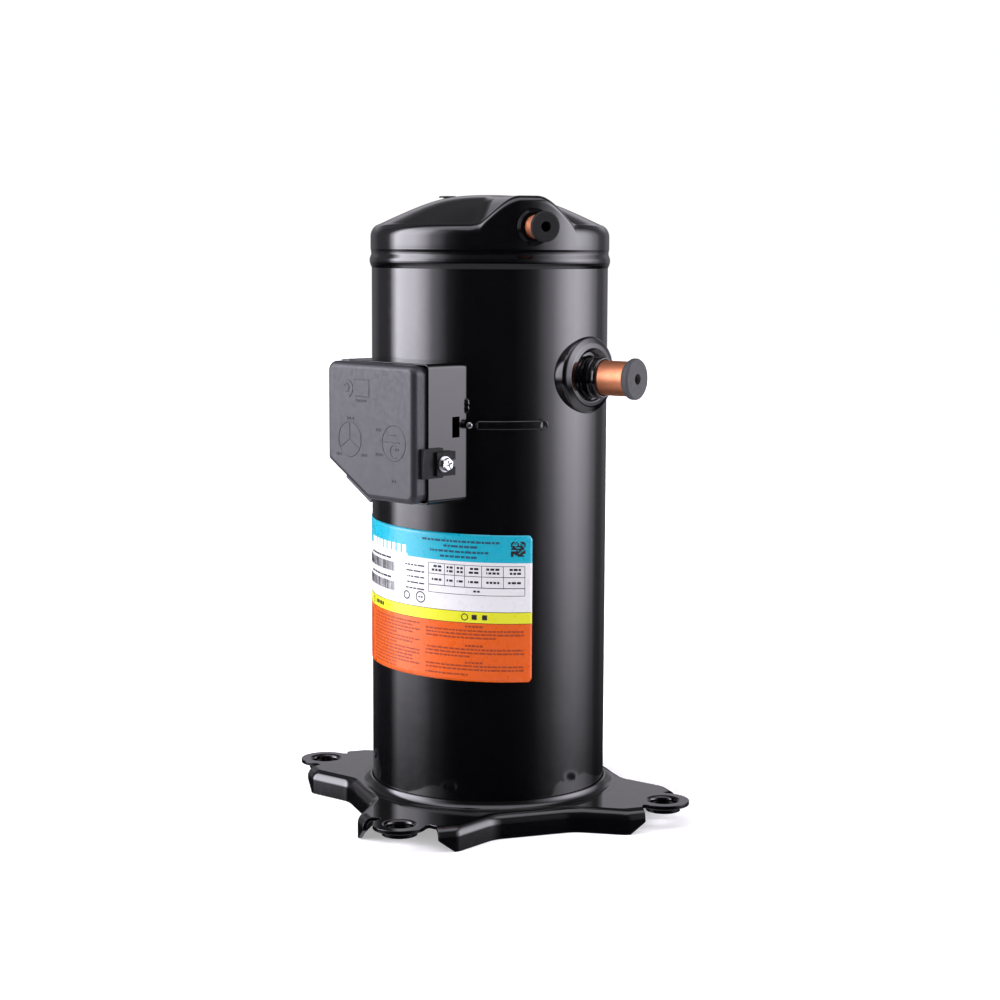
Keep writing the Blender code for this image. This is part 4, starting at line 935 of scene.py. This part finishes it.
def cover_diagrams():
    """Generic winding diagrams: a circle with three spokes, a circle with bars, and an open book."""
    radius, (ax, ay), (bx, by), (cx, cy) = 11.8, (-17.3, 267.5), (28.4, 267.7), (-6.0, 302.6)
    lines = [arc((ax, ay), radius, 0.0, 360.0, 48), arc((bx, by), radius, 0.0, 360.0, 48)]
    lines += [[(ax, ay), arc((ax, ay), radius, angle, angle, 1)[0]] for angle in (90.0, 210.0, 330.0)]
    lines.append([(bx - 13.5, by + 0.6), (bx + 6.0, by + 0.6)])
    lines.append(arc((bx + 1.0, by - 5.4), 4.4, 60.0, 300.0, 16))
    lines.append([(bx - 4.5, by + 5.4), (bx + 2.5, by + 5.4)])
    lines.append([(cx - 5.5, cy - 5.6), (cx + 9.0, cy - 5.6), (cx + 9.0, cy + 5.6), (cx - 6.0, cy + 5.6)])
    lines.append(arc((cx - 14.0, cy - 0.8), 6.0, -70.0, 75.0, 16))
    lines.append(arc((cx - 14.5, cy - 0.4), 2.6, -90.0, 150.0, 12))
    marks = ((ax + 0.8, ay + 14.2, 5), (ax - 11.5, ay - 10.6, 4), (ax + 15.0, ay - 10.0, 4),
             (bx - 15.6, by + 8.0, 4), (bx - 15.0, by - 8.4, 5), (bx + 3.0, by - 4.0, 3),
             (cx + 1.0, cy - 8.6, 7), (28.4, 242.6, 3))
    for mark in marks:
        lines += dashes(*mark)
    form = bmesh.new()
    for line in lines:
        form.from_mesh(stroke_mesh(line))
    cover_part("terminal_cover_diagrams", mesh_from("cover_diagrams", form), 0.0,
               BOX @ shifted(0.0, 0.0, BOX_FRONT - 0.05 * MM), 80.0)


def cover_screw():
    """Washer-head screw with a hexagon and a cross recess."""
    seat = SCREW_SEAT
    washer = [(0.0, seat + 1.3), (5.0, seat + 1.3), (5.6, seat + 0.7), (5.6, seat), (1.9, seat),
              (1.9, seat - 17.0), (0.0, seat - 18.5)]
    mesh = turned_mesh("screw", rounded(mm(washer), 0.2 * MM, 3, False), 64, False)
    rings = []
    for radius, height in ((4.6, 0.9), (4.6, 3.5), (4.25, 4.1), (3.6, 4.4)):
        shape = rounded(mm((radius * x, radius * y) for x, y in spokes(6)), 0.5 * MM)
        rings.append([(x, y, (seat + height) * MM) for x, y in shape])
    mesh = combine(mesh, [lofted_mesh("head", rings)], "UNION")
    cuts = [block_mesh(*mm([(-wide, -tall, seat + 2.6), (wide, tall, seat + 8.0)]))
            for wide, tall in ((3.0, 0.55), (0.55, 3.0))]
    turn = Matrix.Rotation(radians(20.0), 4, "Z")
    piece("cover_screw_body", combine(mesh, cuts, "DIFFERENCE"), "cover_screw", "zinc", "cover_screw",
          BOX @ ACROSS_SCREW @ turn, 0.15 * MM)


def terminals():
    """Header cup and the pins' fine forms, seen when the cover is off."""
    inverse = BOX.inverted()
    centre = inverse @ middle("terminal_header")
    rim = half_height("terminal_header") / MM
    profile = [(0.0, 85.2), (rim - 0.8, 85.2), (rim, 84.4), (rim, 83.1), (16.2, 83.1), (16.2, 75.0),
               (14.6, 75.0), (14.6, 81.8), (0.0, 81.8)]
    cup = turned_mesh("header", rounded(mm(profile), 0.5 * MM, 4, False), 96, False)
    pins = [inverse @ middle(f"terminal_pin_{number}") for number in (1, 2, 3)]
    holes = [moved(cylinder_mesh(*metres(3.3, 60.0, 100.0)), shifted(pin.x - centre.x, pin.y - centre.y))
             for pin in pins]
    piece("terminal_header_cup", combine(cup, holes, "DIFFERENCE"), "terminal_header", "steel",
          matrix=BOX @ shifted(centre.x, centre.y))
    rod = [(0.0, 97.5), (1.6, 97.5, 0.7), (1.6, 66.0), (0.0, 66.0)]
    seal = [(1.9, 87.2), (3.1, 86.0), (3.1, 80.8), (1.9, 80.8)]
    for number, pin in enumerate(pins, 1):
        spot = BOX @ shifted(pin.x, pin.y)
        turned(f"terminal_pin_{number}_rod", rod, 0.3, f"terminal_pin_{number}", "copper", matrix=spot,
               steps=32, closed=False)
        turned(f"pin_seal_{number}_ring", seal, 0.3, f"pin_seal_{number}", "terminal_glass", matrix=spot,
               steps=32, arcs=3)


# ---- harness strap

STRAP_START, STRAP_END = -116.0, -83.5
STUD_ANGLE = -118.2


def harness_strap():
    """Short round-edged bar welded to the shell, its stud, and a spot weld at its far end."""
    half = half_height("harness_strap")
    centre = middle("harness_strap").z
    section = rounded([(-half, -1.0 * MM, 0.2 * MM), (-half, 3.2 * MM, 1.1 * MM), (half, 3.2 * MM, 1.1 * MM),
                       (half, -1.0 * MM, 0.2 * MM)], 1.0 * MM, 6)
    rings = []
    count = 48
    for i in range(count + 1):
        share = min(i, count - i) / 3.0
        narrow = sqrt(clamp(1.0 - (1.0 - clamp(share)) ** 2, 0.12))
        outward = direction(STRAP_START + (STRAP_END - STRAP_START) * i / count)
        lifts = [(z, lift * narrow if lift > 0 else lift) for z, lift in section]
        rings.append([outward * (SHELL_RADIUS + lift) + UP * (centre + z * narrow) for z, lift in lifts])
    piece("harness_strap_bar", lofted_mesh("strap", rings), "harness_strap", angle=45.0)
    nugget = [(0.0, 84.6), (1.6, 84.7), (2.6, 86.0), (3.4, 85.6), (3.6, 82.0), (0.0, 82.0)]
    turned("harness_strap_weld", nugget, 0.5, "harness_strap",
           matrix=radial_frame(direction(STRAP_END - 0.6), centre), steps=48, closed=False)
    base, top = SHELL_RADIUS / MM + 0.6, SHELL_RADIUS / MM + 4.4
    head = [(0.0, top), (2.2, top, 1.0), (2.2, base), (0.0, base)]
    turned("strap_stud_head", head, 0.2, "strap_stud", "zinc",
           matrix=radial_frame(direction(STUD_ANGLE), centre), steps=48, closed=False)


# ---- label and its print, drawn in millimetres

LABEL_START = -88.6
LABEL_SWEEP = 139.0
LABEL_SLOPE = 0.028
LABEL_FILM = SHELL_RADIUS + 0.55 * MM
LABEL_LENGTH = LABEL_FILM * radians(LABEL_SWEEP) / MM
LABEL_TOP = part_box("rating_label")[1].z - LABEL_SLOPE * SHELL_RADIUS * radians(LABEL_SWEEP)
LABEL_CORNER = 2.5
PRINT_LIFT = 0.07
PRINT_SPAN = 3.0
WORD_GAP, WORD_SHORTEST, WORDS_SHORT_OF_END = 0.7, 1.4, 0.6
SQUARES_FILLED = 0.62
TABLE_LINE = 0.35


def label_point(along, down, lift=0.0):
    """A place on the label: along from its right-hand end, down from its top edge."""
    angle = radians(LABEL_START) - along * MM / LABEL_FILM
    radius = LABEL_FILM + lift * MM
    return (radius * cos(angle), radius * sin(angle), LABEL_TOP + (LABEL_SLOPE * along - down) * MM)


def rating_label():
    """Film with round corners, wrapped on the shell a little out of level."""
    columns, rows = 120, 40
    vertices, corners = [], []
    for i in range(columns + 1):
        along = LABEL_LENGTH * i / columns
        from_end = min(along, LABEL_LENGTH - along)
        inset = LABEL_CORNER - sqrt(max(0.0, LABEL_CORNER ** 2 - max(0.0, LABEL_CORNER - from_end) ** 2))
        for j in range(rows + 1):
            down = inset + (LABEL_HEIGHT - 2.0 * inset) * j / rows
            vertices.append(label_point(along, down))
            corners.append((along / LABEL_LENGTH, down / LABEL_HEIGHT))
    starts = [i * (rows + 1) + j for i in range(columns) for j in range(rows)]
    faces = [(here, here + rows + 1, here + rows + 2, here + 1) for here in starts]
    mesh = bpy.data.meshes.new("label")
    mesh.from_pydata(vertices, [], faces)
    layer = mesh.uv_layers.new(name="film")
    for loop in mesh.loops:
        layer.data[loop.index].uv = corners[loop.vertex_index]
    mesh.update()
    obj = piece("rating_label_film", mesh, "rating_label", "label_film", angle=60.0)
    skin = obj.modifiers.new("film", "SOLIDIFY")
    skin.thickness = 0.3 * MM
    outward = mesh.polygons[0].normal.dot(Vector(mesh.polygons[0].center).xy.to_3d()) > 0.0
    skin.offset = -1.0 if outward else 1.0
    label_print()


class Print:
    """Thin printed patches in one ink, gathered in one mesh."""

    def __init__(self, name, ink):
        self.name, self.ink = name, ink
        self.vertices, self.faces = [], []

    def bar(self, along, down, width, height):
        """A patch whose nearest corner to the label's top right is at (along, down)."""
        spans = int(width / PRINT_SPAN) + 1
        first = len(self.vertices)
        for i in range(spans + 1):
            for drop in (down, down + height):
                self.vertices.append(label_point(along + width * i / spans, drop, PRINT_LIFT))
        for base in range(first, first + 2 * spans, 2):
            self.faces.append((base, base + 2, base + 3, base + 1))

    def outline(self, along, down, width, height):
        """A rectangle's four sides."""
        self.bar(along, down, width, TABLE_LINE)
        self.bar(along, down + height - TABLE_LINE, width, TABLE_LINE)
        self.bar(along, down, TABLE_LINE, height)
        self.bar(along + width - TABLE_LINE, down, TABLE_LINE, height)

    def words(self, draw, along, down, width, height, longest=7.0):
        """A row of word-like blocks with small gaps."""
        end = along + width
        while along < end - WORDS_SHORT_OF_END:
            size = min(draw.uniform(WORD_SHORTEST, longest), end - along)
            self.bar(along, down, size, height)
            along += size + WORD_GAP

    def ring(self, along, down, radius, line):
        """A ring."""
        around = spokes(32)
        first = len(self.vertices)
        for x, y in around:
            for size in (radius, radius - line):
                self.vertices.append(label_point(along + size * x, down + size * y, PRINT_LIFT))
        for i in range(len(around)):
            here, ahead = first + 2 * i, first + 2 * ((i + 1) % len(around))
            self.faces.append((here, ahead, ahead + 1, here + 1))

    def finish(self):
        """Make the piece."""
        mesh = bpy.data.meshes.new(self.name)
        mesh.from_pydata(self.vertices, [], self.faces)
        mesh.update()
        piece(self.name, mesh, "rating_label", "label_film", angle=60.0, finish=self.ink)


def label_print():
    """Plain generic print: blocks for text, a table, bar patterns and a field of squares. No letters."""
    draw = random.Random(7)
    dark, white = Print("label_print_dark", INK_DARK), Print("label_print_white", INK_WHITE)
    rust, navy = Print("label_print_rust", INK_RUST), Print("label_print_navy", INK_NAVY)
    for start, end, down in ((22.8, 78.6, 4.6), (37.8, 61.3, 8.0), (30.3, 71.5, 11.6), (38.2, 63.9, 15.0)):
        navy.words(draw, start, down, end - start, 1.5, 5.0)
    cells = 11
    size = 10.2 / cells
    for row in range(cells):
        for column in range(cells):
            if draw.random() < SQUARES_FILLED:
                dark.bar(4.9 + column * size, 4.2 + row * size, size, size)
    for i in range(9):
        white.bar(92.0 + 5.6 * i, 11.6, 3.6, TEAL_END - 10.4)
    white.bar(90.8, 17.2, LABEL_LENGTH - 95.0, 1.4)
    edges = (5.1, 19.9, 34.6, 46.2, 53.2, 60.4, 72.4)
    for left, right in zip(edges, edges[1:]):
        dark.outline(left, 21.0, right - left + TABLE_LINE, 7.7)
        dark.outline(left, 28.4, right - left + TABLE_LINE, 7.8)
        half = (right - left) * 0.3
        for down in (22.6, 25.2, 31.6):
            dark.words(draw, (left + right) / 2.0 - half, down, 2.0 * half, 1.5, 3.0)
    dark.outline(5.1, 36.0, 67.6, 5.4)
    dark.words(draw, 36.0, 38.0, 5.0, 1.3, 2.5)
    for down in (24.0, 28.0, 32.0, 36.0, 40.0):
        dark.words(draw, 76.0, down, draw.uniform(11.0, 17.0), 1.0)
    dark.ring(79.1, 45.8, 4.0, 0.8)
    dark.ring(91.3, 45.8, 3.0, 0.9)
    dark.words(draw, 77.3, 45.2, 3.6, 1.1, 2.0)
    for down in (25.2, 38.6):
        place = 104.3
        while place < 160.0:
            thick = draw.choice((0.6, 0.9, 1.4))
            dark.bar(place, down, thick, 6.4)
            place += thick + draw.choice((0.45, 0.6, 0.8))
        dark.words(draw, 108.0, down - 3.2, 34.0, 1.3)
    for down in (PAPER_END, YELLOW_END):
        dark.bar(0.6, down - 0.15, LABEL_LENGTH - 1.2, TABLE_LINE)
    for along in (31.0, 38.0):
        dark.bar(along, 54.6, 3.4, 3.4)
    dark.ring(46.3, 56.4, 2.4, 0.6)
    dark.words(draw, 118.0, 55.0, 14.0, 2.6, 3.0)
    dark.ring(137.5, 56.4, 2.4, 0.6)
    for title, lines in ((62.2, (65.2, 67.6, 70.0)), (75.4, (78.0, 80.4, 82.8)), (87.0, (89.4, 91.8, 95.4))):
        rust.words(draw, 34.0, title, 12.0, 1.3, 2.4)
        for index, down in enumerate(lines):
            inset = 0.0 if index < 2 else draw.uniform(12.0, 40.0)
            rust.words(draw, 5.8 + inset, down, 69.0 - inset, 1.15, 4.5)
    for row in range(15):
        down = 63.2 + 2.35 * row
        inset = draw.choice((0.0, 0.0, 6.0, 22.0))
        rust.words(draw, 80.0 + inset, down, 54.0 - inset, 1.15, 5.0)
        rust.words(draw, 140.0, down, 52.0, 1.15, 5.0)
    for sheet in (dark, white, rust, navy):
        sheet.finish()


# ---- CAD nodes that are shown or sealed inside


def finish_cad_nodes():
    """Give every CAD node its procedural material, also the ones sealed inside."""
    for entry in frame["record"]["subparts"]:
        mesh = frame["nodes"][entry["node"]].data
        mesh.materials.clear()
        mesh.materials.append(MATERIALS[entry["material_slot"]])


# ---- studio

CAMERA_PLACE = Vector((-0.4859, -1.3878, 0.39794))
CAMERA_TURN = -19.297
CAMERA_YAW = 0.303
CAMERA_PITCH = 6.955
CAMERA_ROLL = 0.249
CAMERA_LENS = 75.236

# Brightness of the studio round the object: degrees to the right of the camera, as seen from the object
SURROUND = ((-180, 0.64), (-150, 0.5), (-135, 0.2), (-118, 0.3), (-112, 0.6), (-106, 6.0), (-101, 13.2),
            (-97, 13.7), (-76, 13.1), (-66, 9.0), (-57, 3.4), (-49, 1.9), (-41, 0.42), (-32, 0.12),
            (-24, 0.045), (24, 0.045), (38, 0.2), (46, 0.52), (54, 1.65), (63, 3.0), (72, 5.8), (82, 8.1),
            (93, 8.1), (105, 5.3), (118, 2.0), (130, 0.4), (140, 0.25), (155, 0.7), (180, 0.64))
# Share of that brightness kept at an elevation in degrees, to the left, to the right and behind
RISE_LEFT = ((-90, 0.1), (-30, 0.1), (-24, 0.05), (-19, 0.015), (-15, 0.03), (-13, 0.1), (-8, 0.36),
             (-2, 0.84), (20, 0.86), (34, 0.7), (46, 0.4), (58, 0.06), (90, 0.03))
RISE_RIGHT = ((-90, 0.1), (-30, 0.1), (-24, 0.05), (-19, 0.015), (-15, 0.055), (-13, 0.2), (-8, 0.5),
              (-2, 0.94), (20, 0.96), (30, 0.68), (38, 0.25), (48, 0.06), (90, 0.03))
RISE_BEHIND = ((-90, 0.02), (-14, 0.03), (-2, 0.35), (7, 0.4), (11, 0.65), (13, 1.0), (18, 1.0), (22, 0.3),
               (28, 0.1), (90, 0.08))
PEAK = 14.0
OVERHEAD = 0.1
TOP_LIGHT = 2.4
FLOOR_LIGHT = 0.58


def camera():
    """The camera at the photograph's height, distance and lens."""
    yaw, pitch, roll = radians(CAMERA_YAW), radians(CAMERA_PITCH), radians(CAMERA_ROLL)
    ahead = Vector((sin(yaw) * cos(pitch), cos(yaw) * cos(pitch), -sin(pitch)))
    right = Vector((cos(yaw), -sin(yaw), 0.0))
    above = right.cross(ahead)
    level, tilted = right * cos(roll) + above * sin(roll), above * cos(roll) - right * sin(roll)
    turn = Matrix.Rotation(radians(CAMERA_TURN), 3, "Z")
    rotation = turn @ Matrix((level, tilted, -ahead)).transposed()
    data = bpy.data.cameras.new("camera")
    data.lens = CAMERA_LENS
    data.sensor_width = 36.0
    data.clip_end = 50.0
    obj = placed("camera", data)
    obj.matrix_world = Matrix.Translation(CAMERA_PLACE) @ rotation.to_4x4()
    bpy.context.scene.camera = obj


def studio_light():
    """Two tall soft lights either side, dim behind and in front, with light from above and from the floor."""
    world = bpy.data.worlds.new("studio")
    world.use_nodes = True
    bpy.context.scene.world = world
    tree = world.node_tree
    background = tree.nodes["Background"]
    place = tree.nodes.new("ShaderNodeTexCoord").outputs["Generated"]
    inputs = {"Angle": -atan2(CAMERA_PLACE.y, CAMERA_PLACE.x), "Vector": place}
    turn = new_node(tree, "ShaderNodeVectorRotate", inputs, rotation_type="Z_AXIS")
    parts = new_node(tree, "ShaderNodeSeparateXYZ", {"Vector": turn.outputs["Vector"]})

    def operate(operation, *values):
        return new_node(tree, "ShaderNodeMath", dict(enumerate(values)), operation=operation).outputs[0]

    def total(first, second):
        return operate("ADD", first, second)

    def product(first, second):
        return operate("MULTIPLY", first, second)

    def ramp(value, *stops):
        made = new_node(tree, "ShaderNodeValToRGB", {"Fac": value})
        elements = made.color_ramp.elements
        while len(elements) < len(stops):
            elements.new(0.5)
        for element, (position, level) in zip(elements, stops):
            element.position = position
            element.color = (level, level, level, 1.0)
        return made.outputs["Color"]

    def mix(first, second, share_of_second):
        kept = product(first, operate("SUBTRACT", 1.0, share_of_second))
        return total(kept, product(second, share_of_second))

    # both run from 0 to 1: once round from behind the object, and from straight down to straight up
    azimuth = operate("ARCTAN2", parts.outputs["Y"], parts.outputs["X"])
    bearing = operate("MULTIPLY_ADD", azimuth, 1.0 / (2.0 * pi), 0.5)
    height = operate("MULTIPLY_ADD", operate("ARCSINE", parts.outputs["Z"], 0.0), 1.0 / pi, 0.5)

    level = ramp(bearing, *((angle / 360.0 + 0.5, value / PEAK) for angle, value in SURROUND))
    left, right, back = (ramp(height, *((angle / 180.0 + 0.5, value) for angle, value in rise))
                         for rise in (RISE_LEFT, RISE_RIGHT, RISE_BEHIND))
    at_right = ramp(bearing, (0.0, 0.0), (0.02, 0.0), (0.48, 0.0), (0.52, 1.0), (0.98, 1.0), (1.0, 0.0))
    behind = ramp(bearing, (0.0, 1.0), (0.06, 1.0), (0.12, 0.0), (0.88, 0.0), (0.94, 1.0), (1.0, 1.0))
    in_front = ramp(bearing, (0.0, 0.0), (0.16, 0.0), (0.26, 1.0), (0.74, 1.0), (0.84, 0.0), (1.0, 0.0))
    share = mix(mix(left, right, at_right), back, behind)
    overhead = ramp(height, (0.0, 0.0), (0.62, 0.0), (0.72, 1.0), (1.0, 1.0))
    low = ramp(height, (0.0, 1.0), (0.33, 1.0), (0.36, 0.0), (1.0, 0.0))
    high_front = product(ramp(height, (0.0, 0.0), (0.75, 0.0), (0.82, 1.0), (1.0, 1.0)), in_front)
    sides = product(product(level, share), PEAK)
    top = total(product(overhead, OVERHEAD), product(high_front, TOP_LIGHT))
    tree.links.new(total(sides, total(top, product(low, FLOOR_LIGHT))), background.inputs["Strength"])
    background.inputs["Color"].default_value = (0.985, 0.955, 1.05, 1.0)


def stage_material(name, shade, glow):
    """Matt material that also glows a little."""
    finish = Finish(name, grey(shade), 0.9, 0.0, 0.0)
    finish.colour((2.0, 2.0), grey(shade), grey(shade))
    finish.set("Emission Color", (1.0, 1.0, 0.992, 1.0))
    finish.set("Emission Strength", glow)
    return finish.material


FLOOR_RADIUS = 6.0
FLOOR_DROP = 0.2 * MM
BACKDROP_RADIUS = 6.5


def stage():
    """A plain pale floor and a white backdrop, neither of which shows in the object's gloss."""
    points = [(FLOOR_RADIUS * x, FLOOR_RADIUS * y, -FLOOR_DROP) for x, y in spokes(96)]
    floor = mesh_of("floor", points, [tuple(range(len(points)))])
    floor.materials.append(stage_material("floor", 0.8, 0.35))
    form = bmesh.new()
    bmesh.ops.create_uvsphere(form, u_segments=64, v_segments=32, radius=BACKDROP_RADIUS)
    dome = mesh_from("backdrop", form)
    dome.materials.append(stage_material("backdrop", 0.0, 1.02))
    ground, backdrop = placed("floor", floor), placed("backdrop", dome)
    for obj in (ground, backdrop):
        obj.visible_glossy = False
    backdrop.visible_diffuse = False
    backdrop.visible_transmission = False
    backdrop.visible_shadow = False


base_plate()
shell()
separator_rim()
top_cap()
sensor_pocket()
suction_port()
discharge_port()
terminal_fence()
terminal_cover()
cover_screw()
terminals()
harness_strap()
rating_label()
finish_cad_nodes()
stage()
studio_light()
camera()
bpy.context.scene.view_settings.view_transform = "Standard"
